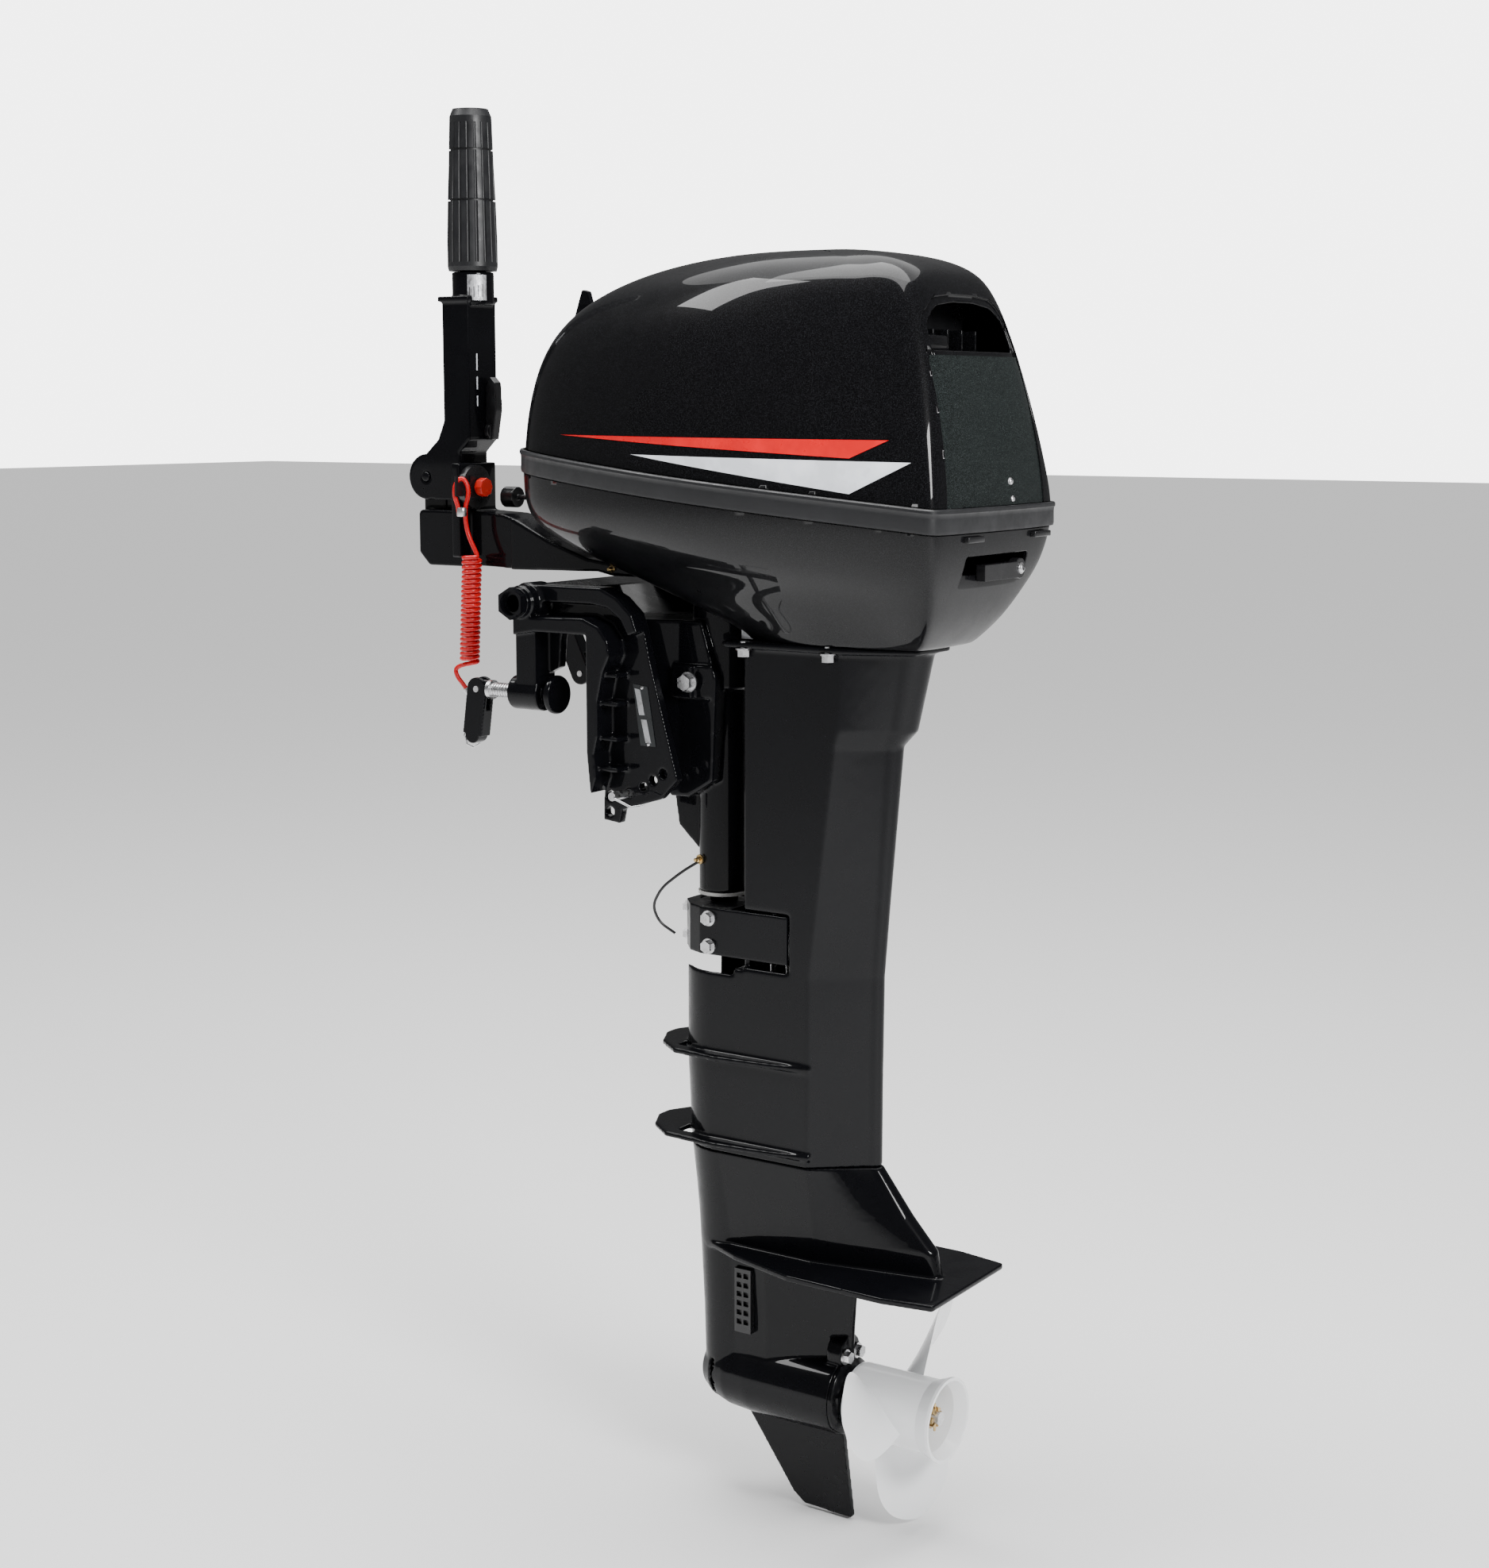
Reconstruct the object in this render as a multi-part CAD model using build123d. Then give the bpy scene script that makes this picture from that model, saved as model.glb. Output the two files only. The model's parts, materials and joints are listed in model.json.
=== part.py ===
from build123d import *
import os
from math import atan2, cos, degrees, pi, radians, sin, tan

os.makedirs("parts", exist_ok=True)

# Long-shaft outboard motor, millimetres.
# Origin: where the transom's top edge meets the flat faces of the clamp brackets, on the centre plane.
# +X points aft to the propeller, +Y to starboard, +Z up. The boat's transom fills X < 0, Z < 0.

# ---- driving dimensions ----
STEER_X = 85                     # steering axis, aft of the transom face
DRIVE_X = 160                    # crankshaft and drive shaft axis
PROP_Z = -704                    # propeller shaft axis
PLATE_Z = -574                   # anti-ventilation plate
SKEG_Z = -823                    # lowest point
JOINT_Z = -478                   # upper casing to lower unit
COWL_TOP_Z = 340
TILT_X, TILT_Z = -75, 26         # tilt tube axis
TILT_R = 11
CLAMP_Y, CLAMP_Z = 80, -59       # clamp screw axes
BRACKET_IN, BRACKET_OUT = 64, 98 # clamp bracket, inner and outer faces
TUBE_R = 23                      # steering tube
SHAFT_R = 13
STEER_SWEEP_R = 39               # the leg and power head stay outside this round the steering axis
TILLER_X = -206                  # grip axis with the tiller folded up
HINGE_X, HINGE_Z = -252, 136     # tiller fold hinge
PROP_R = 117.5                   # propeller, 9 1/4 inch
SWITCH_X, SWITCH_Y, SWITCH_Z = -196, -19, 127   # engine stop switch, back of the tiller base
FIT = 0.05                       # radial running clearance
WALL = 4


# ---- helpers ----
def block(x0, x1, y0, y1, z0, z1):
    return Pos((x0 + x1) / 2, (y0 + y1) / 2, (z0 + z1) / 2) * Box(x1 - x0, y1 - y0, z1 - z0)


def rod(start, end, r, r_end=None):
    """A round bar or cone between two points."""
    a, b = Vector(*start), Vector(*end)
    at = Plane(origin=a, z_dir=b - a).location
    length = (b - a).length
    low = (Align.CENTER, Align.CENTER, Align.MIN)
    if r_end is None:
        return at * Cylinder(r, length, align=low)
    return at * Cone(r, r_end, length, align=low)


def pipe(start, end, r, bore):
    a, b = Vector(*start), Vector(*end)
    more = (b - a).normalized() * 1
    return rod(start, end, r) - rod(tuple(a - more), tuple(b + more), bore)


def slab_y(points, y0, y1, radius=0):
    """A side profile of (x, z) points, between two y values."""
    face = make_face(Polyline(*points, close=True))
    if radius:
        face = fillet(face.vertices(), radius)
    at = Plane(origin=(0, y1, 0), x_dir=(1, 0, 0), z_dir=(0, -1, 0))
    return extrude(at * face, y1 - y0)


def slab_z(points, z0, z1, radius=0):
    """A plan outline of (x, y) points, between two z values."""
    face = make_face(Polyline(*points, close=True))
    if radius:
        face = fillet(face.vertices(), radius)
    return extrude(Pos(0, 0, z0) * face, z1 - z0)


def turned(points, axis_x=0, axis_z=0, along="z"):
    """A profile of (radius, distance) points turned about a vertical or fore-and-aft axis."""
    face = make_face(Polyline(*points, close=True))
    solid = revolve(Plane.XZ * face, Axis.Z)
    if along == "z":
        return Pos(axis_x, 0, 0) * solid
    return Pos(0, 0, axis_z) * Rot(0, 90, 0) * solid


def hex_bolt(place, direction, across=10, head=5, shank=14, r=3):
    """A flanged hexagon bolt whose head stands out from place along direction."""
    d = Vector(*direction)
    at = Plane(origin=Vector(*place), z_dir=d).location
    low = (Align.CENTER, Align.CENTER, Align.MIN)
    body = Cylinder(across * 0.72, 1.6, align=low)
    body += Pos(0, 0, 1.6) * extrude(RegularPolygon(across / 2, 6, major_radius=False), head)
    body += Pos(0, 0, -shank) * Cylinder(r, shank, align=low)
    return at * body


def both_sides(solid):
    return Compound([solid, mirror(solid, about=Plane.XZ)])


def outline(z, front, rear, half_front, half_mid, half_rear, corner=14, bow=10):
    """A level section of the cowls: round nose, bulging sides, nearly flat back."""
    nose = half_front * 0.42
    side = front + (rear - front) * 0.55
    left = [
        ThreePointArc((front + nose, -half_front), (front, 0), (front + nose, half_front)),
        ThreePointArc((front + nose, half_front), (side, half_mid), (rear - corner, half_rear)),
        Line((rear - corner, half_rear), (rear - bow * 0.4, half_rear - corner)),
        ThreePointArc((rear - bow * 0.4, half_rear - corner), (rear, 0),
                      (rear - bow * 0.4, corner - half_rear)),
        Line((rear - bow * 0.4, corner - half_rear), (rear - corner, -half_rear)),
        ThreePointArc((rear - corner, -half_rear), (side, -half_mid), (front + nose, -half_front)),
    ]
    return Pos(0, 0, z) * make_face(left)


def leg_section(z, front, rear, half, nose, shoulder, tail):
    """A level section of the leg: elliptical nose, flat sides, tapered tail."""
    tip = tail * 0.8
    edges = [
        ThreePointArc((front + nose, -half), (front, 0), (front + nose, half)),
        Line((front + nose, half), (shoulder, half)),
        Line((shoulder, half), (rear - tip, tail)),
        ThreePointArc((rear - tip, tail), (rear, 0), (rear - tip, -tail)),
        Line((rear - tip, -tail), (shoulder, -half)),
        Line((shoulder, -half), (front + nose, -half)),
    ]
    return Pos(0, 0, z) * make_face(edges)


# ---- clamp brackets, fixed to the boat ----
def clamp_bracket():
    """The port bracket; the starboard one is its mirror image."""
    web = [(-92, 24), (-80, 42), (-24, 42), (8, 42), (26, 34), (42, 20), (48, 4), (54, -23), (84, -129),
           (65, -148), (22, -161), (19, -174), (1, -172), (2, -146), (2, -128), (0, -112), (4, -96),
           (0, -20), (0, 0), (-44, 0), (-46, -8), (-48, -34), (-61, -40), (-61, -74),
           (-88, -74), (-94, -66), (-94, -46), (-84, -28), (-84, -4), (-92, 12)]
    y_in, y_web, y_out = -BRACKET_IN, -BRACKET_IN - 10, -BRACKET_OUT
    body = slab_y(web, y_web, y_in)
    flange = [(-80, 42), (8, 42), (26, 34), (42, 20), (48, 4),
              (38, 0), (30, 14), (16, 24), (-4, 27), (-80, 27)]
    body += slab_y(flange, y_out + 12, y_in)
    hook = [(-84, 12), (-40, 14), (-4, 15), (14, 8), (24, -4), (26, -18), (18, -34), (12, -60), (12, -92),
            (8, -108), (10, -130), (4, -146), (2, -128), (0, -108), (0, 0), (-60, 0), (-84, -4)]
    body += slab_y(hook, y_out, y_in)
    for z in (-36, -62, -94, -122):
        body += block(2, 30, y_out + 6, y_in, z - 2, z + 2)
    body += block(-84, -61, y_out + 4, y_in, CLAMP_Z, 4)
    body += rod((-94, -CLAMP_Y, CLAMP_Z), (-60, -CLAMP_Y, CLAMP_Z), 16)
    for r, y in ((18, y_out + 10), (16, y_out), (14, y_out - 6)):
        body += rod((TILT_X, y, TILT_Z), (TILT_X, y_in, TILT_Z), r)
    body -= rod((TILT_X, -140, TILT_Z), (TILT_X, -40, TILT_Z), TILT_R + FIT)
    body -= rod((-100, -CLAMP_Y, CLAMP_Z), (-40, -CLAMP_Y, CLAMP_Z), 7 + FIT)
    for x, z in ((68, -124), (57, -131), (46, -138)):
        body -= rod((x, -100, z), (x, -60, z), 4.5)
    for x, z in ((9, -149), (8, -164)):
        at = Plane(origin=(x, y_web - 1, z), z_dir=(0, 1, 0)).location
        body -= at * extrude(RegularPolygon(5.5, 6), 30)
    return body


def tilt_tube():
    return pipe((TILT_X, -108, TILT_Z), (TILT_X, 108, TILT_Z), TILT_R, 8)


def tilt_nuts():
    nuts = []
    for side in (-1, 1):
        at = Plane(origin=(TILT_X, side * 105, TILT_Z), z_dir=(0, side, 0)).location
        nut = at * extrude(RegularPolygon(15, 6), 8)
        nuts.append(nut - rod((TILT_X, -120, TILT_Z), (TILT_X, 120, TILT_Z), TILT_R + FIT))
    return Compound(nuts)


def tilt_pin():
    """The tilt-angle pin through both brackets, with its spring clip."""
    x, z = 30, -145
    pin = rod((x, -100, z), (x, 92, z), 4)
    clip = [(x, -96, z), (x + 6, -103, z - 1), (x + 24, -103, z - 7), (x + 34, -98, z - 5)]
    for a, b in zip(clip, clip[1:]):
        pin += rod(a, b, 1.1)
        pin += Pos(*b) * Sphere(1.1)
    return pin


# ---- clamp screws ----
def clamp_pad():
    pad = turned([(0, -44), (17, -44), (18, -46), (18, -49), (12, -53), (10, -58), (0, -58)], along="x")
    pad = Pos(0, -CLAMP_Y, CLAMP_Z) * pad
    return pad - rod((-80, -CLAMP_Y, CLAMP_Z), (-50, -CLAMP_Y, CLAMP_Z), 6 + FIT)


def clamp_screw():
    shaft = rod((-124, -CLAMP_Y, CLAMP_Z), (-60, -CLAMP_Y, CLAMP_Z), 7)
    shaft += rod((-60, -CLAMP_Y, CLAMP_Z), (-51, -CLAMP_Y, CLAMP_Z), 6)
    thread_step = 3
    for i in range(8):
        x = -119 + thread_step * i
        shaft -= pipe((x, -CLAMP_Y, CLAMP_Z), (x + 1.4, -CLAMP_Y, CLAMP_Z), 9, 6.2)
    shaft += rod((-126, -CLAMP_Y, CLAMP_Z), (-122, -CLAMP_Y, CLAMP_Z), 9)
    shaft += block(-146, -125, -CLAMP_Y - 2.5, -CLAMP_Y + 2.5, CLAMP_Z - 8, CLAMP_Z + 8)
    return shaft + rod((-138, -CLAMP_Y - 7.6, CLAMP_Z), (-138, -CLAMP_Y + 7.6, CLAMP_Z), 3)


def clamp_handle(swing):
    """A two-cheek folding handle round the flat end of the screw."""
    half = 11
    grip = block(-half, half, -7, 7, -44, 0) + rod((0, -7, 0), (0, 7, 0), half)
    grip += rod((0, -7, -44), (0, 7, -44), half * 0.75)
    grip -= block(-13, 13, -2.9, 2.9, -18, 14)
    grip -= rod((0, -8, 0), (0, 8, 0), 3 + FIT)
    return Pos(-138, -CLAMP_Y, CLAMP_Z) * Rot(0, swing, 0) * grip


# ---- swivel bracket ----
def swivel_bracket():
    """Tilts on the tilt tube and carries the steering tube."""
    y = BRACKET_IN - 3
    arm = [(-84, 12), (-84, 36), (-64, 42), (-40, 38), (0, 12), (84, 12), (100, -40), (96, -134), (70, -150),
           (52, -150), (40, -120), (30, -60), (22, -24), (0, 6), (-30, 12)]
    body = slab_y(arm, -y, y)
    body -= slab_y([(-48, 14), (-8, 4), (8, -26), (30, -64), (42, -134), (90, -140), (90, -60), (80, 4), (0, 6),
                    (-44, 30)], -27, 27)
    taper = [(0, -y), (60, -36), (140, -36), (140, -90), (0, -90)]
    body -= slab_z(taper, -160, 60)
    body -= mirror(slab_z(taper, -160, 60), about=Plane.XZ)
    body += slab_y([(38, -90), (62, -110), (62, -202), (40, -182), (35, -150)], -9, 9)
    body += rod((TILT_X, -y, TILT_Z), (TILT_X, y, TILT_Z), 16)
    body += rod((STEER_X, 0, -240), (STEER_X, 0, 44), TUBE_R)
    body += rod((STEER_X, 0, -50), (STEER_X, 0, 44), TUBE_R + 5)
    body += block(STEER_X - 28, STEER_X + 10, -44, -20, -58, -28)
    swept = rod((STEER_X, 0, -160), (STEER_X, 0, 60), STEER_SWEEP_R)
    body -= block(STEER_X - 6, 140, -90, 90, -160, 60) - swept
    body -= rod((STEER_X, 0, -250), (STEER_X, 0, 60), SHAFT_R + 4)
    body -= rod((TILT_X, -80, TILT_Z), (TILT_X, 80, TILT_Z), TILT_R + FIT)
    body -= rod((STEER_X - 9, -60, -43), (STEER_X - 9, -12, -43), 4 + FIT)
    return body


def swivel_bushes():
    """Plastic bushes at the top and bottom of the steering tube."""
    bore = SHAFT_R + FIT
    low = pipe((STEER_X, 0, -239), (STEER_X, 0, -215), SHAFT_R + 4, bore)
    low += pipe((STEER_X, 0, -243), (STEER_X, 0, -240), TUBE_R + 1, bore)
    high = pipe((STEER_X, 0, 20), (STEER_X, 0, 44), SHAFT_R + 4, bore)
    high += pipe((STEER_X, 0, 44), (STEER_X, 0, 46.5), TUBE_R + 2, bore)
    return Compound([low, high])


def friction_bolt():
    return hex_bolt((STEER_X - 9, -44, -43), (0, -1, 0), across=13, head=7, shank=26, r=4)


# ---- steering bracket, tiller base and lower mount ----
def steering_bracket():
    """Steering shaft, forward arm, tiller base and hinge tongue in one casting."""
    body = rod((STEER_X, 0, -296), (STEER_X, 0, 62), SHAFT_R)
    body += rod((STEER_X, 0, 46.8), (STEER_X, 0, 62), 29)
    top = [(-140, 50), (-37, 52), (-20, 48.5), (80, 48.5), (80, 58), (-20, 60), (-50, 64), (-92, 78), (-136, 98),
           (-140, 98)]
    body += slab_y(top, -30, 30)
    body += slab_y([(-200, 52), (-136, 50), (-136, 96), (-158, 102), (-200, 104)], -21, 21)
    base = [(-262, 62), (-250, 50), (-196, 50), (-196, 104), (-262, 104)]
    body += slab_y(base, -21, 21, 5)
    body += slab_y([(-206, 60), (-196, 60), (-196, 150), (-206, 150)], -38, 18)
    tongue = slab_y([(-266, 90), (-238, 90), (-238, HINGE_Z), (-266, HINGE_Z)], -8.6, 8.6)
    tongue += rod((HINGE_X, -8.6, HINGE_Z), (HINGE_X, 8.6, HINGE_Z), 17)
    body += tongue
    body += rod((HINGE_X, -23, HINGE_Z), (HINGE_X, 23, HINGE_Z), 5)
    return body


def stop_switch():
    body = rod((SWITCH_X, SWITCH_Y, SWITCH_Z), (SWITCH_X + 7, SWITCH_Y, SWITCH_Z), 21)
    return body - rod((SWITCH_X + 0.5, SWITCH_Y, SWITCH_Z), (SWITCH_X + 12, SWITCH_Y, SWITCH_Z), 6.1)


def stop_button():
    at = Plane(origin=(SWITCH_X + 10.8, SWITCH_Y, SWITCH_Z), z_dir=(1, 0, 0)).location
    cap = at * extrude(RegularPolygon(9, 8), 8)
    return cap + rod((SWITCH_X + 3, SWITCH_Y, SWITCH_Z), (SWITCH_X + 11, SWITCH_Y, SWITCH_Z), 6)


def lock_clip():
    """The forked clip under the stop button's head; the lanyard hangs from its tail."""
    x0, x1 = SWITCH_X + 7.2, SWITCH_X + 8.6
    clip = block(x0, x1, SWITCH_Y - 12, SWITCH_Y + 12, SWITCH_Z - 11, SWITCH_Z + 11)
    clip += block(x0, x1, SWITCH_Y - 31, SWITCH_Y - 11, SWITCH_Z - 8, SWITCH_Z + 5)
    clip += block(x0, x1, SWITCH_Y - 34, SWITCH_Y - 30, SWITCH_Z - 8, SWITCH_Z + 11)
    clip -= rod((x0 - 2, SWITCH_Y, SWITCH_Z), (x1 + 2, SWITCH_Y, SWITCH_Z), 6.4)
    clip -= block(x0 - 2, x1 + 2, SWITCH_Y, SWITCH_Y + 20, SWITCH_Z - 6.4, SWITCH_Z + 6.4)
    return clip


# ---- tiller ----
def tiller_arm():
    """Folded straight up. Its lower end is a fork round the hinge tongue."""
    arm = [(-228, 308), (-196, 308), (-196, 172), (-209, 160), (-209, 136), (-216, 114), (-240, 114), (-262, 118),
           (-270, 150), (-252, 158), (-236, 172), (-228, 190)]
    body = slab_y(arm, -21, 21)
    body += rod((HINGE_X, -21, HINGE_Z), (HINGE_X, 21, HINGE_Z), 22)
    body += rod((TILLER_X, 0, 300), (TILLER_X, 0, 331), 20)
    body += rod((TILLER_X, 0, 330), (TILLER_X, 0, 468), 12)
    body += block(-232, -194, -23, 23, 303, 308)
    body -= rod((HINGE_X, -9, HINGE_Z), (HINGE_X, 9, HINGE_Z), 30)
    body -= block(-300, -200, -9, 9, 90, HINGE_Z)
    body -= rod((HINGE_X, -30, HINGE_Z), (HINGE_X, 30, HINGE_Z), 5 + FIT)
    body -= block(-222, -202, -15, 15, 185, 298)
    return body


def twist_grip():
    """Fluted rubber throttle grip."""
    z0, z1 = 332, 483
    profile = [(12 + FIT, z0), (23, z0), (24, z0 + 4), (24, 360), (23, 395), (21.5, 430), (20, 476), (17, z1),
               (0, z1), (0, 469), (12 + FIT, 469)]
    body = turned(profile, axis_x=TILLER_X)
    flutes = 18
    for i in range(flutes):
        a = 2 * pi * i / flutes
        x, y = TILLER_X + 24.6 * cos(a), 24.6 * sin(a)
        top = (TILLER_X + 21.4 * cos(a), 21.4 * sin(a), 470)
        body -= rod((x, y, 340), top, 1.7)
    for z in (397, 444):
        body -= pipe((TILLER_X, 0, z), (TILLER_X, 0, z + 2), 30, 20.4 if z < 430 else 19.4)
    return body


def friction_lever():
    """Thumb lever on the tiller that sets the throttle friction."""
    x = -195.6
    lever = rod((x, 8, 180), (x + 5, 8, 180), 8)
    lever += slab_y([(x, 172), (x + 8, 172), (x + 13, 200), (x + 12, 226), (x + 6, 232), (x + 1, 222), (x, 200)], 3, 13)
    return lever


# ---- leg ----
UPPER_LEG = [  # z, front, rear, half width, nose, shoulder, tail half width
    (-6, 126, 304, 46, 12, 240, 22),
    (-78, 126, 288, 46, 12, 236, 18),
    (-92, 126, 275, 46, 12, 232, 12),
    (-236, 126, 263, 46, 12, 214, 9),
    (-302, 126, 258, 46, 12, 206, 8),
]
LOWER_LEG = [
    (-302, 54, 258, 46, 44, 206, 8),
    (-400, 54, 257, 46, 46, 206, 8),
    (JOINT_Z, 58, 257, 45, 48, 205, 8),
]


def leg_loft(rows, shrink=0, above=0, below=0):
    """The leg through its level sections; the first may be raised and the last lowered."""
    sections = []
    for n, (z, front, rear, half, nose, shoulder, tail) in enumerate(rows):
        if n == 0:
            z += above
        if n == len(rows) - 1:
            z -= below
        sections.append(leg_section(z, front + shrink, rear - shrink * 1.6, half - shrink, nose,
                                    shoulder - shrink, tail - min(shrink, 3)))
    return loft(sections, ruled=True)


def splash_plate(z, reach):
    """A visor round the leg's nose that fades out along its sides."""
    tip = 54 - reach
    points = [(tip, -8), (tip, 8), (tip + 14, 34), (tip + 40, 54), (110, 59), (160, 54), (208, 46.5), (208, 40),
              (60, 40), (60, -40), (208, -40), (208, -46.5), (160, -54), (110, -59), (tip + 40, -54), (tip + 14, -34)]
    return slab_z(points, z - 2.5, z + 2.5)


def upper_casing():
    body = leg_loft(UPPER_LEG) + leg_loft(LOWER_LEG)
    body += slab_z([(117, -54), (117, 54), (250, 54), (306, 30), (306, -30), (250, -54)], -8, -2, 5)
    for z, reach in ((-386, 30), (-468, 40)):
        body += splash_plate(z, reach)
    body -= leg_loft(UPPER_LEG, WALL, 8, 0.5)
    body -= leg_loft(LOWER_LEG, WALL, -4, 2)
    body -= block(134, 198, -40, 40, -320, -290)
    body -= block(-20, 126, -80, 80, -308, -295)
    body -= rod((STEER_X, 0, -330), (STEER_X, 0, -250), 34)
    body -= both_sides(block(100, 185, 42, 60, -300, -246))
    return body


def lower_mount_housing():
    """Clamps the foot of the steering shaft and bridges both sides of the leg."""
    body = slab_z([(58, -22), (58, 22), (74, 40), (90, 47), (184, 47), (184, 42.4), (121, 42.4), (121, -42.4),
                   (184, -42.4), (184, -47), (90, -47), (74, -40)], -292, -248)
    return body - rod((STEER_X, 0, -300), (STEER_X, 0, -240), SHAFT_R + 9)


def lower_mounts():
    """Rubber between the steering shaft and its housing."""
    return pipe((STEER_X, 0, -290), (STEER_X, 0, -250), SHAFT_R + 9, SHAFT_R)


def casing_bolts():
    """Hexagon bolts: lower mount, cowl flange, lower unit and bearing carrier."""
    bolts = []
    for z in (-258, -284):
        for y in (-13, 13):
            bolts.append(hex_bolt((58, y, z), (-1, 0, 0), across=10, head=6, shank=3))
        for y in (-1, 1):
            bolts.append(hex_bolt((100, y * 47, z), (0, y, 0), across=10, head=5, shank=4))
    for x in (140, 228):
        for y in (-50, 50):
            bolts.append(hex_bolt((x, y, -8), (0, 0, -1), across=10, head=6, shank=6))
    for x, half in ((68, 10.8), (194, 36)):
        for y in (-half, half):
            bolts.append(hex_bolt((x, y, JOINT_Z - 1), (0, 0, -1), across=10, head=6, shank=0.5))
    for y in (-10.2, 10.2):
        bolts.append(hex_bolt((226.2, y, PROP_Z + 41), (1, 0, 0), across=10, head=5, shank=2))
    return Compound(bolts)


LOWER_UNIT = [
    (JOINT_Z - 0.2, 58, 258, 44, 48, 205, 8),
    (-520, 62, 290, 38, 48, 206, 10),
    (-548, 64, 316, 34, 48, 206, 9),
    (PLATE_Z, 65, 322, 30, 48, 200, 8),
]
BLADE_LEG = [
    (PLATE_Z, 65, 234, 30, 46, 150, 4),
    (-640, 68, 230, 26, 44, 150, 4),
    (PROP_Z, 70, 228, 26, 44, 150, 4),
]


def lower_unit():
    """Gearcase with its anti-ventilation plate, torpedo and skeg."""
    body = leg_loft(LOWER_UNIT) + leg_loft(BLADE_LEG)
    plate = [(62, -6), (62, 6), (84, 30), (130, 52), (200, 72), (300, 74), (349, 66), (349, -66), (300, -74),
             (200, -72), (130, -52), (84, -30)]
    body += slab_z(plate, PLATE_Z - 3, PLATE_Z + 3, 3)
    nose = [(0, 66), (12, 68), (22, 74), (30, 86), (35, 104), (37, 130), (37, 222), (0, 222)]
    body += turned([(r, x) for r, x in nose], axis_z=PROP_Z, along="x")
    skeg = [(100, PROP_Z), (230, PROP_Z), (219, -735), (230, SKEG_Z), (178, SKEG_Z + 2), (166, -812), (104, -726)]
    body += slab_y(skeg, -4, 4)
    body += rod((210, 0, PROP_Z + 41), (225.8, 0, PROP_Z + 41), 18)
    body -= rod((88, 0, PROP_Z), (240, 0, PROP_Z), 31)
    body -= rod((DRIVE_X, 0, PROP_Z), (DRIVE_X, 0, -440), 13)
    body -= rod((DRIVE_X, 0, -530), (DRIVE_X, 0, -440), 30)
    body -= rod((101, 0, PROP_Z), (101, 0, -440), 5)
    return body


def inlet_grilles():
    """Slatted cooling-water inlets on both sides of the gearcase."""
    plate = block(118, 136, -32.4, -26.4, -654, -592)
    for i in range(6):
        z = -646 + 9 * i
        plate -= block(120.5, 126, -34, -29, z, z + 5)
        plate -= block(128, 133.5, -34, -29, z, z + 5)
    return both_sides(plate)


def bearing_carrier():
    body = turned([(9.3, 196), (30.9, 196), (30.9, 222.2), (36, 222.2), (36, 226), (28, 230), (9.3, 230)],
                  axis_z=PROP_Z, along="x")
    return body


# ---- gears and shafts ----
MODULE = 2.1
TEETH_DRIVEN, TEETH_PINION = 27, 13
GEAR_R = MODULE * TEETH_DRIVEN / 2
PINION_R = MODULE * TEETH_PINION / 2
GEAR_CONE = degrees(atan2(TEETH_DRIVEN, TEETH_PINION))
FACE = 9                         # tooth length
BACK = 3                         # plain rim behind the teeth
PROP_SHAFT_R = 9.2
DRIVE_SHAFT_R = 6


def bevel_gear(teeth, pitch_r, cone_deg, bore, phase):
    """A straight bevel gear about +Z; its cone narrows upwards."""
    a = radians(cone_deg)
    root = pitch_r - 1.1 / cos(a)
    small = root - FACE * sin(a)
    top = BACK + FACE * cos(a)
    body = turned([(bore, 0), (root, 0), (root, BACK), (small, top), (bore, top)])
    for i in range(teeth):
        tooth = Box(4, 2, FACE * 0.94, align=(Align.CENTER, Align.CENTER, Align.MIN))
        body += Rot(0, 0, phase + 360 * i / teeth) * Pos(root, 0, BACK) * Rot(0, -cone_deg, 0) * tooth
    return body


def pinion_gear():
    gear = bevel_gear(TEETH_PINION, PINION_R, 90 - GEAR_CONE, DRIVE_SHAFT_R, 180)
    return Pos(DRIVE_X, 0, PROP_Z + GEAR_R + BACK) * Rot(180, 0, 0) * gear


def forward_gear():
    gear = bevel_gear(TEETH_DRIVEN, GEAR_R, GEAR_CONE, PROP_SHAFT_R + FIT, 180 + 180 / TEETH_DRIVEN)
    return Pos(DRIVE_X - PINION_R - BACK, 0, PROP_Z) * Rot(0, 90, 0) * gear


def reverse_gear():
    gear = bevel_gear(TEETH_DRIVEN, GEAR_R, GEAR_CONE, PROP_SHAFT_R + FIT, 0)
    return Pos(DRIVE_X + PINION_R + BACK, 0, PROP_Z) * Rot(0, -90, 0) * gear


def drive_shaft():
    return rod((DRIVE_X, 0, PROP_Z + 18), (DRIVE_X, 0, 29.8), DRIVE_SHAFT_R)


def pump_impeller():
    z0, z1 = -516, -494
    body = rod((DRIVE_X, 0, z0), (DRIVE_X, 0, z1), 10)
    for i in range(6):
        vane = block(8, 20, -1.2, 1.2, z0, z1)
        body += Pos(DRIVE_X, 0, 0) * Rot(0, 0, 60 * i) * vane
    return body - rod((DRIVE_X, 0, z0 - 1), (DRIVE_X, 0, z1 + 1), DRIVE_SHAFT_R)


def water_pump_housing():
    body = rod((DRIVE_X, 0, -524), (DRIVE_X, 0, -484), 28)
    body -= rod((DRIVE_X, 0, -518), (DRIVE_X, 0, -492), 22)
    return body - rod((DRIVE_X, 0, -530), (DRIVE_X, 0, -480), DRIVE_SHAFT_R + FIT)


def propeller_shaft():
    r = PROP_SHAFT_R
    return turned([(0, 118), (r - 1, 118), (r, 119), (r, 300), (6, 301), (6, 322), (0, 322)], axis_z=PROP_Z,
                  along="x")


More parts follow.
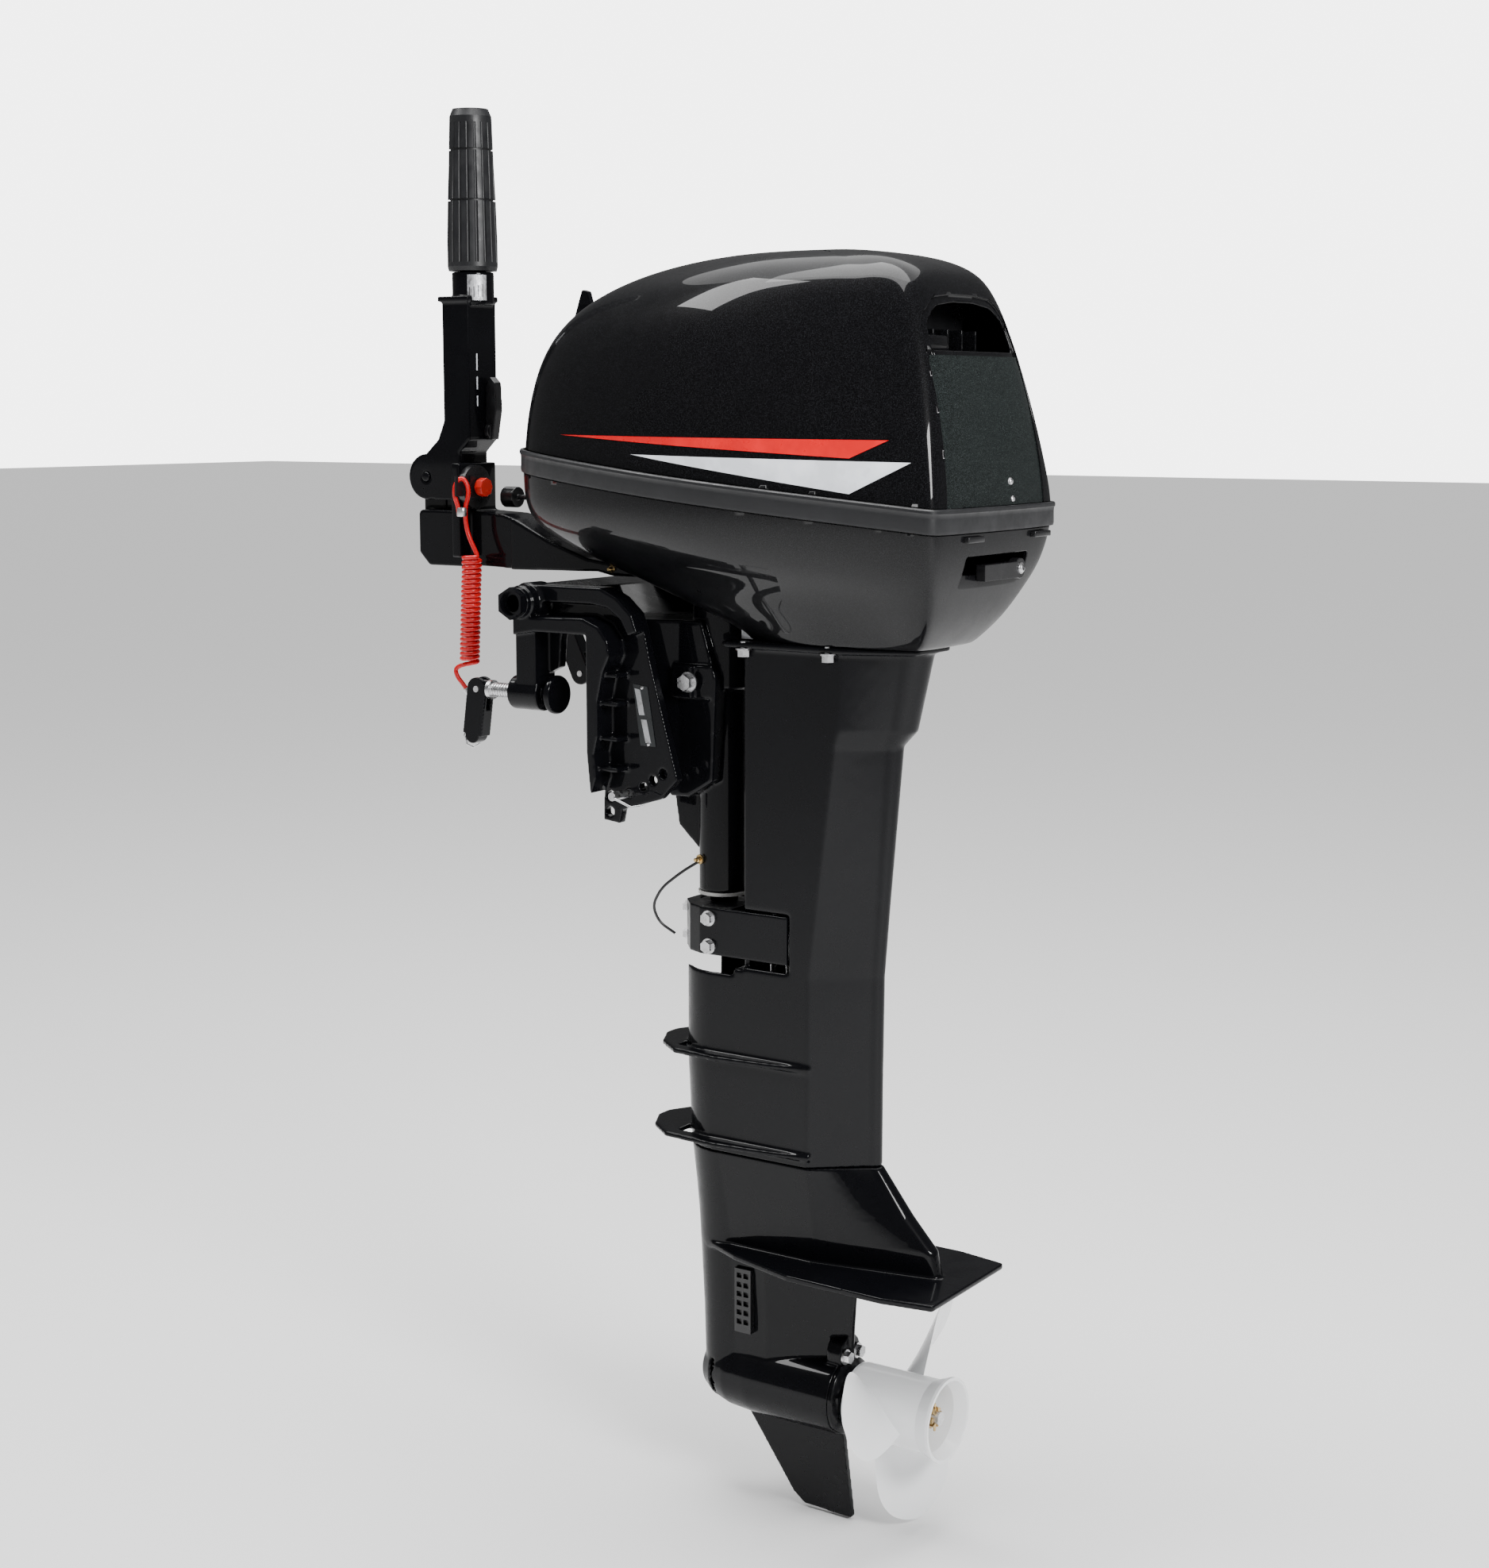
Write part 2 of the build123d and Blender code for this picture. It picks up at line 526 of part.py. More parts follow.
def dog_clutch():
    body = pipe((DRIVE_X - 5, 0, PROP_Z), (DRIVE_X + 5, 0, PROP_Z), 16, PROP_SHAFT_R + FIT)
    for i in range(3):
        notch = block(DRIVE_X - 6, DRIVE_X - 3, -3, 3, 11, 17) + block(DRIVE_X + 3, DRIVE_X + 6, -3, 3, 11, 17)
        body -= Pos(0, 0, PROP_Z) * Rot(120 * i, 0, 0) * notch
    return body


PITCH = 229
HUB_MID_X = 278
BLADE_ROWS = ((27, 50, 8), (50, 66, 6), (75, 78, 4.5), (96, 70, 3.2), (110, 44, 2.2), (PROP_R, 14, 1.4))


def blade():
    """One blade pointing up, from sections of radius, chord and thickness."""
    sections = []
    for r, chord, thick in BLADE_ROWS:
        a = atan2(PITCH, 2 * pi * r)
        rake = 0.10 * (r - 27)
        at = Plane(origin=(HUB_MID_X + rake, 0, r), x_dir=(-sin(a), cos(a), 0), z_dir=(0, 0, 1))
        bow = chord * 0.03
        edges = [
            ThreePointArc((-chord / 2, 0), (0, bow + thick / 2), (chord / 2, 0)),
            ThreePointArc((chord / 2, 0), (0, min(bow - thick / 2, -0.4)), (-chord / 2, 0)),
        ]
        sections.append(at * make_face(edges))
    return loft(sections)


def propeller():
    hub = turned([(30, 236), (33, 236), (34, 240), (34, 314), (39, 327), (39, 329.5), (36, 329.5), (31, 318),
                  (30, 300)], along="x")
    inner = turned([(PROP_SHAFT_R, 238), (15, 238), (15, 304), (PROP_SHAFT_R, 304)], along="x")
    body = hub + inner
    for i in range(3):
        body += Rot(75 + 120 * i, 0, 0) * block(240, 300, -2, 2, 14, 31)
    blades = [Rot(75 + 120 * i, 0, 0) * blade() for i in range(3)]
    for one in blades:
        body += one
    body -= turned([(15, 230), (30, 230), (30, 340), (15, 340)], along="x") & block(300, 340, -50, 50, -50, 50)
    return Pos(0, 0, PROP_Z) * body


def propeller_nut():
    """Castellated nut with its split pin."""
    at = Plane(origin=(304.2, 0, PROP_Z), z_dir=(1, 0, 0)).location
    nut = at * extrude(RegularPolygon(12, 6), 8) + rod((312, 0, PROP_Z), (318, 0, PROP_Z), 9.5)
    for i in range(3):
        nut -= Pos(0, 0, PROP_Z) * Rot(60 * i, 0, 0) * block(313.5, 319, -1.6, 1.6, -12, 12)
    nut += rod((315.5, 0, PROP_Z - 13), (315.5, 0, PROP_Z + 13), 1.2)
    return nut - rod((300, 0, PROP_Z), (314, 0, PROP_Z), 6)


# ---- power head ----
BORES_Z = (95, 168)
BORE_R = 28
DECK_X = 284


def cylinder_block():
    """Crankcase and cylinder block with its exhaust base."""
    body = block(112, 214, -54, 54, 64, 230) + block(200, DECK_X, -46, 46, 64, 210)
    body += block(130, 262, -38, 38, -1, 65)
    body += block(112, 122, -90, 90, 221, 229)
    body += block(214, 264, -8, 8, 221, 229)
    for x, y in ((117, 84), (117, -84), (258, 0)):
        body += rod((x, y, 222), (x, y, 265.8), 5)
    body -= rod((DRIVE_X, 0, 70), (DRIVE_X, 0, 226), 41)
    body -= rod((140, 0, -5), (140, 0, 30), 3.6)
    body -= rod((DRIVE_X, 0, -2), (DRIVE_X, 0, 240), 12 + FIT)
    for z in BORES_Z:
        body -= rod((DRIVE_X, 0, z), (DECK_X + 1, 0, z), BORE_R)
    return body


def pistons():
    """Both pistons at half stroke."""
    pair = []
    for z in BORES_Z:
        body = rod((214, 0, z), (254, 0, z), BORE_R - FIT) - rod((210, 0, z), (247, 0, z), BORE_R - 5)
        pair.append(body + rod((234, -BORE_R + 4, z), (234, BORE_R - 4, z), 6))
    return Compound(pair)


def cylinder_head():
    body = block(DECK_X + 0.2, 308, -44, 44, 58, 206)
    for z in BORES_Z:
        body -= rod((280, 0, z), (296, 0, z), 22)
        body -= rod((290, 0, z), (320, 0, z), 6)
    for z in (70, 130, 134, 194):
        body -= block(302, 312, -48, 48, z, z + 3)
    return body


def spark_plugs():
    return Compound([rod((297, 0, z), (308, 0, z), 5.9) + rod((308, 0, z), (318, 0, z), 9)
                     + rod((318, 0, z), (338, 0, z), 5) for z in BORES_Z])


def crankshaft():
    body = rod((DRIVE_X, 0, 30), (DRIVE_X, 0, 237.8), 12)
    for z, side in zip(BORES_Z, (1, -1)):
        for dz in (-18, 8):
            body += rod((DRIVE_X, 0, z + dz), (DRIVE_X, 0, z + dz + 10), 38)
        body -= block(DRIVE_X - 20, DRIVE_X + 20, -20, 20, z - 8, z + 8)
        body += rod((DRIVE_X, side * 25, z - 9), (DRIVE_X, side * 25, z + 9), 10)
    return body


def flywheel():
    profile = [(0, 238), (26, 238), (30, 250), (74, 250), (76, 236), (88, 236), (88, 260), (0, 260)]
    return turned(profile, axis_x=DRIVE_X)


def recoil_housing():
    """Rope starter housing above the flywheel."""
    profile = [(0, 266), (90, 266), (90, 271), (72, 276), (66, 298), (40, 304), (0, 304)]
    body = turned(profile, axis_x=DRIVE_X)
    body -= turned([(0, 264), (60, 264), (60, 296), (0, 296)], axis_x=DRIVE_X)
    for x, y in ((117, 84), (117, -84), (258, 0)):
        body += rod((x, y, 266), (x, y, 271), 7)
    return body


def carburettor():
    body = block(52, 111, -20, 20, 84, 128) + block(60, 96, -16, 16, 62, 86)
    return body - rod((48, 0, 108), (112, 0, 108), 11)


# ---- cowls ----
BAND_TOP, BAND_BOTTOM = 12, -9   # rubber band, above and below the joint line
LATCH_Y = 45
SHIFT_X, SHIFT_Z = -85, 96       # shift lever's shaft
CHOKE_Y, CHOKE_Z = 10, 117
STARTER_Y, STARTER_Z = 50, 121
SEAM_SLOPE = -0.095              # the joint line falls towards the stern
SEAM_Z0 = 144                    # joint line height at X = 0
COWL_ROWS = (                    # z, front, rear, half widths at front, middle and rear
    (60, -112, 370, 84, 131, 110), (110, -112, 368, 84, 131, 110), (150, -111, 365, 82, 129, 107),
    (200, -107, 358, 78, 124, 101), (240, -97, 349, 71, 116, 94), (272, -78, 338, 62, 105, 87),
    (298, -42, 326, 52, 93, 80), (318, 8, 308, 42, 79, 66), (331, 62, 276, 30, 56, 42),
    (COWL_TOP_Z, 112, 226, 14, 26, 16),
)
PAN_ROWS = (
    (-1.5, 122, 322, 38, 54, 48), (13, 118, 334, 42, 60, 58), (24, 64, 343, 44, 66, 68), (46, 14, 353, 50, 80, 84),
    (66, -40, 361, 60, 104, 98), (88, -92, 366, 76, 122, 106), (110, -110, 368, 84, 131, 110),
    (190, -112, 368, 84, 131, 110),
)


def above_seam(offset):
    """Everything above the sloping joint between the cowls, or above a plane offset from it."""
    z_front = SEAM_Z0 - SEAM_SLOPE * 200 + offset
    z_rear = SEAM_Z0 + SEAM_SLOPE * 500 + offset
    return slab_y([(-200, z_front), (500, z_rear), (500, 500), (-200, 500)], -300, 300)


def cowl_loft(rows, shrink=0, drop=0):
    sections = []
    for z, front, rear, hf, hm, hr in rows:
        sections.append(outline(z - drop, front + shrink, rear - shrink, hf - shrink, hm - shrink, hr - shrink,
                                14 if hr > 30 else 6, 10 if hr > 30 else 4))
    return loft(sections, ruled=True)


def top_cowl():
    body = cowl_loft(COWL_ROWS) - cowl_loft(COWL_ROWS[:-1], 5, 4)
    body = body & above_seam(BAND_TOP)
    body -= block(300, 380, -70, 70, 250, 288)
    return body - rear_panel()


def cowl_seal():
    """Rubber band round the joint, fixed to the top cowl."""
    rows = ((80, -116, 372, 88, 135, 114), (190, -116, 372, 88, 135, 114))
    band = cowl_loft(rows) - cowl_loft(rows, 10)
    return (band & above_seam(BAND_BOTTOM)) - above_seam(BAND_TOP)


def bottom_cowl():
    body = cowl_loft(PAN_ROWS) - cowl_loft(PAN_ROWS, WALL, -WALL)
    body -= above_seam(BAND_BOTTOM - 0.4)
    body += block(351, 355.4, -54, 66, 46, 84) & cowl_loft(PAN_ROWS)
    body -= block(355.4, 380, -50, 62, 50, 80)
    body -= rod((340, LATCH_Y, 66), (380, LATCH_Y, 66), 3 + FIT)
    body -= rod((STEER_X, 0, -10), (STEER_X, 0, 48), TUBE_R + 9)
    body -= block(126, 270, -41, 41, -10, 28)
    body -= slab_y([(-140, 44), (118, 44), (118, 64), (-20, 64), (-50, 67), (-92, 81), (-140, 100)], -32, 32)
    body -= rod((-200, CHOKE_Y, CHOKE_Z), (-60, CHOKE_Y, CHOKE_Z), 2.5 + FIT)
    body -= rod((-200, STARTER_Y, STARTER_Z), (-60, STARTER_Y, STARTER_Z), 2.8)
    body -= rod((SHIFT_X, 60, SHIFT_Z), (SHIFT_X, 130, SHIFT_Z), 6 + FIT)
    return body


def rear_panel():
    """Inset panel below the air intake at the back of the top cowl."""
    skin = cowl_loft(COWL_ROWS) - cowl_loft(COWL_ROWS, 2)
    shape = [(-86, 126), (86, 126), (77, 246), (-77, 246)]
    at = Plane(origin=(330, 0, 0), x_dir=(0, 1, 0), z_dir=(1, 0, 0))
    return skin & extrude(at * make_face(Polyline(*shape, close=True)), 60)


def cowl_latch():
    """Lever in the back of the bottom cowl that clamps the top cowl down."""
    lever = block(356.4, 365, LATCH_Y - 65, LATCH_Y, 58, 72) + rod((356.4, LATCH_Y, 66), (365, LATCH_Y, 66), 9)
    return lever + rod((345, LATCH_Y, 66), (367, LATCH_Y, 66), 3)


# ---- controls ----
def shift_lever():
    x, y, z = SHIFT_X, 114, SHIFT_Z
    side = [(-94, 96), (-76, 96), (-112, 190), (-138, 270), (-152, 316), (-160, 318), (-172, 284), (-150, 262),
            (-126, 186)]
    lever = slab_y(side, y - 3, y + 3, 2) + rod((x, y - 4, z), (x, y + 4, z), 13)
    return lever + rod((x, 82, z), (x, y, z), 6)


def shift_rod():
    path = [(140, 0, 20), (140, 0, -380), (101, 0, -430), (101, 0, -680)]
    body = Pos(*path[1]) * Sphere(3) + Pos(*path[2]) * Sphere(3)
    for a, b in zip(path, path[1:]):
        body += rod(a, b, 3)
    return body


def choke_knob():
    y, z = CHOKE_Y, CHOKE_Z
    return rod((-177, y, z), (-162, y, z), 10) + rod((-163, y, z), (-70, y, z), 2.5)


def starter_handle():
    """Rope starter grip with the stub of its rope."""
    y, z = STARTER_Y, STARTER_Z
    grip = block(-148, -130, y - 7, y + 7, z - 29, z + 29) + rod((-139, y, z - 29), (-139, y, z + 29), 9)
    return grip + rod((-140, y, z), (-90, y, z), 2.5)


# ---- stop lanyard ----
CORD_R = 2.2
COIL_R = 10
LOOP_ROUTE = [(-190.2, -45.4, 100), (-190.6, -45.7, 109), (-193.4, -47.6, 118), (-193.6, -47.7, 127),
              (-190.4, -45.6, 135.5), (-185.6, -42.4, 135.5), (-182.4, -40.3, 127), (-182.6, -40.4, 118),
              (-185.2, -42.2, 109), (-185.4, -42.0, 96), (-183.2, -40.6, 81), (-180.6, -39, 66)]
COIL_TOP, COIL_END = (-180.4, -38.9, 64), (-184, -41, -42)
TAIL_ROUTE = [(-192, -44, -38), (-197.5, -46.5, -44.5), (-196, -46.5, -54), (-188.5, -42.5, -64), (-183, -39, -76)]


def bend_radii(route):
    """0.45 of the shorter run over the tangent of half the turn, at each corner."""
    radii = []
    for a, b, c in zip(route, route[1:], route[2:]):
        run_in, run_out = Vector(*b) - Vector(*a), Vector(*c) - Vector(*b)
        half = radians(run_in.get_angle(run_out)) / 2
        radii.append(0.45 * min(run_in.length, run_out.length) / tan(half))
    return radii


def cord_tube(name, route):
    radii = bend_radii(route)
    path = FilletPolyline(*route, radius=radii)
    section = Plane(origin=route[0], z_dir=Vector(*route[1]) - Vector(*route[0])) * Circle(CORD_R)
    tube = sweep(section, path=path)
    expected = pi * CORD_R ** 2 * path.length
    print(name, "radii", [round(r, 1) for r in radii], "length", round(path.length, 1),
          "volume ratio", round(tube.volume / expected, 3))
    return tube


def lanyard_coil():
    return rod(COIL_TOP, COIL_END, COIL_R)


def snap_hook():
    """Wire snap hook on the lanyard's end."""
    x, y = -183, -39
    points = [(0, -76), (4, -84), (2.5, -94), (8, -112), (6, -120), (0, -123), (-6, -120), (-8, -112), (-2.5, -94),
              (-4, -84)]
    hook = None
    places = [(x + h * 0.832, y + h * 0.555, z) for h, z in points]
    for a, b in zip(places, places[1:] + places[:1]):
        piece = rod(a, b, 1.2) + Pos(*b) * Sphere(1.2)
        hook = piece if hook is None else hook + piece
    return hook


def bonding_wire():
    """Earth wire from the steering tube down to the lower mount, with slack for steering."""
    route = [(72, -22.5, -212), (58, -30, -222), (40, -38, -238), (30, -38, -256), (34, -33, -272), (48, -27, -282)]
    radii = bend_radii(route)
    path = FilletPolyline(*route, radius=radii)
    section = Plane(origin=route[0], z_dir=Vector(*route[1]) - Vector(*route[0])) * Circle(1.3)
    return sweep(section, path=path)


# ---- write one file per part ----
def starboard(solid):
    return mirror(solid, about=Plane.XZ)


PARTS = {
    "clamp_bracket_port": clamp_bracket, "clamp_bracket_starboard": lambda: starboard(clamp_bracket()),
    "tilt_tube": tilt_tube, "tilt_tube_nuts": tilt_nuts, "tilt_pin": tilt_pin,
    "clamp_pad_port": clamp_pad, "clamp_screw_port": clamp_screw, "clamp_handle_port": lambda: clamp_handle(8),
    "clamp_pad_starboard": lambda: starboard(clamp_pad()),
    "clamp_screw_starboard": lambda: starboard(clamp_screw()),
    "clamp_handle_starboard": lambda: starboard(clamp_handle(155)),
    "swivel_bracket": swivel_bracket, "swivel_bushes": swivel_bushes, "friction_bolt": friction_bolt,
    "bonding_wire": bonding_wire,
    "steering_bracket": steering_bracket, "lower_mount_housing": lower_mount_housing, "lower_mounts": lower_mounts,
    "upper_casing": upper_casing, "lower_unit": lower_unit, "casing_bolts": casing_bolts,
    "bottom_cowl": bottom_cowl, "inlet_grilles": inlet_grilles, "bearing_carrier": bearing_carrier,
    "cylinder_block": cylinder_block, "cylinder_head": cylinder_head, "spark_plugs": spark_plugs,
    "pistons": pistons, "carburettor": carburettor, 
    "recoil_housing": recoil_housing, "water_pump_housing": water_pump_housing, "stop_switch": stop_switch,
    "crankshaft": crankshaft, "flywheel": flywheel, "drive_shaft": drive_shaft, "pump_impeller": pump_impeller,
    "pinion_gear": pinion_gear, "forward_gear": forward_gear, "reverse_gear": reverse_gear,
    "propeller_shaft": propeller_shaft, "propeller": propeller, "propeller_nut": propeller_nut,
    "dog_clutch": dog_clutch,
    "top_cowl": top_cowl, "cowl_seal": cowl_seal, "rear_panel": rear_panel, "cowl_latch": cowl_latch,
    "tiller_arm": tiller_arm, "twist_grip": twist_grip, "friction_lever": friction_lever,
    "stop_button": stop_button, "lock_clip": lock_clip,
    "lanyard_loop": lambda: cord_tube("lanyard_loop", LOOP_ROUTE), "lanyard_coil": lanyard_coil,
    "lanyard_tail": lambda: cord_tube("lanyard_tail", TAIL_ROUTE), "snap_hook": snap_hook,
    "shift_lever": shift_lever, "shift_rod": shift_rod, "choke_knob": choke_knob,
    "starter_handle": starter_handle,
}

SEATS = {                        # parts cut away where others sit in them
    "clamp_bracket_port": ["tilt_pin"], "clamp_bracket_starboard": ["tilt_pin"],
    "lower_mount_housing": ["casing_bolts"], "upper_casing": ["casing_bolts"],
    "lower_unit": ["casing_bolts", "bearing_carrier", "inlet_grilles"], "bearing_carrier": ["casing_bolts"],
    "propeller_shaft": ["propeller_nut"],
}
made = {name: make() for name, make in PARTS.items()}
for name, solid in made.items():
    for seated in SEATS.get(name, []):
        solid = solid - made[seated]
    export_step(solid, f"parts/{name}.step")
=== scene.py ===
import json
import math

import bpy
import bmesh
import numpy as np
from mathutils import Matrix, Vector


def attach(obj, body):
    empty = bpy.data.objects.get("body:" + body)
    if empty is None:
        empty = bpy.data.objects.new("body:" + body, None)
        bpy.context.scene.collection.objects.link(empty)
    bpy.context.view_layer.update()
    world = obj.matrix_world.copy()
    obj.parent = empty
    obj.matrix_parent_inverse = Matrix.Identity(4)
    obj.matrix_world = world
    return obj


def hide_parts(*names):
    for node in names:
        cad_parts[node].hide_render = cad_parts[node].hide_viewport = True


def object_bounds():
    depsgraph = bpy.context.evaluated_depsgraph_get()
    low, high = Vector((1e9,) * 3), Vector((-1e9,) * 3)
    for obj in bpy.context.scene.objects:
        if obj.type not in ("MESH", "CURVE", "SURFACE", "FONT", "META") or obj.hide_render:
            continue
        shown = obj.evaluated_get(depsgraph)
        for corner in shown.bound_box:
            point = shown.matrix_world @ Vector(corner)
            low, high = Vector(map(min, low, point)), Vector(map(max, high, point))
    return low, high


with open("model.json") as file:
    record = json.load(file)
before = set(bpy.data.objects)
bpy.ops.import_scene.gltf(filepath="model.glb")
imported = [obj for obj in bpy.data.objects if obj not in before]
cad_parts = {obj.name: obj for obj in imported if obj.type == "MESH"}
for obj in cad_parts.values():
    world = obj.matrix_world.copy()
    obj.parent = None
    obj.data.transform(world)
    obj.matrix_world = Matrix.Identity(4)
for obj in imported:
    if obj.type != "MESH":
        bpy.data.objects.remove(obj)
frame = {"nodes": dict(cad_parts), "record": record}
CAD_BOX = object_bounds()
MM = 0.001
NODES = frame["nodes"]
SLOT_OF = {row["node"]: row["material_slot"] for row in frame["record"]["subparts"]}
BODY_OF = {node: body for body, nodes in frame["record"]["behaviour"]["bodies"].items() for node in nodes}
PAINTED = {"tilt_tube": "black_satin", "tilt_tube_nuts": "black_satin", "bonding_wire": "black_plastic"}

# Frame: +X aft, +Y to starboard, +Z up. Plain numbers below are millimetres and are multiplied by MM.
BRACKET_WEB_Y = 74
TILLER_X = -206
CORD_R = 2.2 * MM
COIL_TURNS, TURN_POINTS, COIL_MEAN_R = 22, 14, 7.75
SEAM_SLOPE, SEAM_Z0 = -0.095, 144
SEAM_OUTLINE = (-112, 368, 84, 131, 110)  # front, rear, half widths at front, middle and rear
BAND_TOP, BAND_BOTTOM = 12, -9  # from the joint line
CROWN_Z = 300
SCREW_BORES = {"clamp_bracket_port": (-80, -59), "clamp_bracket_starboard": (80, -59)}


# ---- camera, floor and light ----
def make_camera():
    azimuth, elevation, distance = math.radians(33.69), math.radians(8.84), 2.261
    back = Vector((math.sin(azimuth) * math.cos(elevation), -math.cos(azimuth) * math.cos(elevation),
                   math.sin(elevation)))
    data = bpy.data.cameras.new("camera")
    data.sensor_width, data.lens = 36, 56.41
    camera = bpy.data.objects.new("camera", data)
    bpy.context.collection.objects.link(camera)
    camera.location = Vector((0.1077, 0, -0.1394)) + back * distance
    camera.rotation_mode = "QUATERNION"
    camera.rotation_quaternion = (-back).to_track_quat("-Z", "Y")
    bpy.context.scene.camera = camera


def make_floor():
    mesh = bpy.data.meshes.new("floor")
    half, z = 30, CAD_BOX[0].z - 2 * MM
    corners = [(-half, -half, z), (half, -half, z), (half, half, z), (-half, half, z)]
    mesh.from_pydata(corners, [], [(0, 1, 2, 3)])
    floor = bpy.data.objects.new("floor", mesh)
    bpy.context.collection.objects.link(floor)
    material = bpy.data.materials.new("floor")
    material.use_nodes = True
    shader = material.node_tree.nodes["Principled BSDF"]
    shader.inputs["Base Color"].default_value = (0.84, 0.84, 0.84, 1)
    shader.inputs["Roughness"].default_value = 0.7
    mesh.materials.append(material)


def area_light(name, place, aim, size, size_y, power):
    data = bpy.data.lights.new(name, "AREA")
    data.shape, data.size, data.size_y, data.energy = "RECTANGLE", size, size_y, power
    light = bpy.data.objects.new(name, data)
    bpy.context.collection.objects.link(light)
    light.location = place
    light.rotation_mode = "QUATERNION"
    light.rotation_quaternion = (Vector(aim) - Vector(place)).to_track_quat("-Z", "Y")


def make_light():
    world = bpy.data.worlds.new("studio")
    bpy.context.scene.world = world
    world.use_nodes = True
    tree = world.node_tree
    tree.nodes.clear()
    out = tree.nodes.new("ShaderNodeOutputWorld")
    mix = tree.nodes.new("ShaderNodeMixShader")
    path = tree.nodes.new("ShaderNodeLightPath")
    pale = tree.nodes.new("ShaderNodeBackground")
    pale.inputs["Color"].default_value = (1, 1, 1, 1)
    pale.inputs["Strength"].default_value = 5.0
    soft = tree.nodes.new("ShaderNodeBackground")
    soft.inputs["Strength"].default_value = 0.20
    tree.links.new(path.outputs["Is Camera Ray"], mix.inputs["Fac"])
    tree.links.new(soft.outputs[0], mix.inputs[1])
    tree.links.new(pale.outputs[0], mix.inputs[2])
    tree.links.new(mix.outputs[0], out.inputs["Surface"])
    area_light("top", (0.1, -0.1, 2.5), (0.12, 0, 0.1), 2.2, 1.8, 110)
    area_light("key", (-1.9, -1.0, 2.9), (0.0, 0, 0), 1.1, 1.1, 60)
    area_light("rear", (2.5, -0.95, 1.05), (0.25, 0, 0.1), 0.9, 0.7, 80)
    sun = bpy.data.lights.new("sky", "SUN")
    sun.energy, sun.angle = 2.6, math.radians(70)
    high = bpy.data.objects.new("sky", sun)
    bpy.context.collection.objects.link(high)
    high.rotation_mode = "QUATERNION"
    high.rotation_quaternion = Vector((0.2, -0.35, -1)).to_track_quat("-Z", "Y")


# ---- materials ----
class Shader:
    """A principled material with helpers for procedural detail in object coordinates."""

    def __init__(self, name, colour, roughness, metallic=0.0, coat=0.0, coat_roughness=0.03, specular=0.5):
        self.material = bpy.data.materials.new(name)
        self.material.use_nodes = True
        self.tree = self.material.node_tree
        self.main = self.tree.nodes["Principled BSDF"]
        self.colour = (*colour, 1)
        self.main.inputs["Base Color"].default_value = self.colour
        self.main.inputs["Roughness"].default_value = roughness
        self.main.inputs["Metallic"].default_value = metallic
        self.main.inputs["Coat Weight"].default_value = coat
        self.main.inputs["Coat Roughness"].default_value = coat_roughness
        self.main.inputs["Specular IOR Level"].default_value = specular
        self.where = self.tree.nodes.new("ShaderNodeTexCoord").outputs["Object"]
        self.height = None
        self.tint = None

    def node(self, kind, **inputs):
        made = self.tree.nodes.new(kind)
        for key, value in inputs.items():
            socket = made.inputs[key.replace("_", " ")]
            if isinstance(value, bpy.types.NodeSocket):
                self.tree.links.new(value, socket)
            else:
                socket.default_value = value
        return made

    def noise(self, scale, detail=3.0, roughness=0.5):
        return self.node("ShaderNodeTexNoise", Vector=self.where, Scale=scale, Detail=detail,
                         Roughness=roughness).outputs["Fac"]

    def ramp(self, value, low, high, dark, light):
        made = self.tree.nodes.new("ShaderNodeMapRange")
        self.tree.links.new(value, made.inputs["Value"])
        for key, number in (("From Min", low), ("From Max", high), ("To Min", dark), ("To Max", light)):
            made.inputs[key].default_value = number
        return made.outputs["Result"]

    def mix(self, factor, a, b):
        made = self.tree.nodes.new("ShaderNodeMix")
        made.data_type = "RGBA"
        self.tree.links.new(factor, made.inputs["Factor"])
        for value, socket in ((a, made.inputs["A"]), (b, made.inputs["B"])):
            if isinstance(value, tuple):
                socket.default_value = value
            else:
                self.tree.links.new(value, socket)
        return made.outputs["Result"]

    def colour_by(self, factor, other):
        self.tint = self.mix(factor, self.tint or self.colour, (*other, 1))
        self.tree.links.new(self.tint, self.main.inputs["Base Color"])
        return self

    def roughness_by(self, factor, low, high):
        self.tree.links.new(self.ramp(factor, 0.3, 0.7, low, high), self.main.inputs["Roughness"])
        return self

    def bump(self, value, distance, strength=1.0):
        made = self.tree.nodes.new("ShaderNodeBump")
        made.inputs["Strength"].default_value = strength
        made.inputs["Distance"].default_value = distance
        self.tree.links.new(value, made.inputs["Height"])
        if self.height:
            self.tree.links.new(self.height, made.inputs["Normal"])
        self.height = made.outputs["Normal"]
        self.tree.links.new(self.height, self.main.inputs["Normal"])
        return self

    def worn_edges(self, colour, low, high):
        """Rubbed paint where the surface is sharply convex."""
        point = self.tree.nodes.new("ShaderNodeNewGeometry").outputs["Pointiness"]
        edge = self.ramp(point, low, high, 0, 1)
        broken = self.ramp(self.noise(180, 4, 0.6), 0.50, 0.62, 0, 1)
        both = self.tree.nodes.new("ShaderNodeMath")
        both.operation = "MULTIPLY"
        self.tree.links.new(edge, both.inputs[0])
        self.tree.links.new(broken, both.inputs[1])
        return self.colour_by(both.outputs[0], colour)


def flake(shader, scale, share, colour):
    """Tiny bright metallic flakes in a dark paint."""
    cells = shader.node("ShaderNodeTexVoronoi", Vector=shader.where, Scale=scale)
    bright = shader.tree.nodes.new("ShaderNodeSeparateColor")
    shader.tree.links.new(cells.outputs["Color"], bright.inputs["Color"])
    return shader.colour_by(shader.ramp(bright.outputs["Red"], 1 - share, 1, 0, 1), colour)


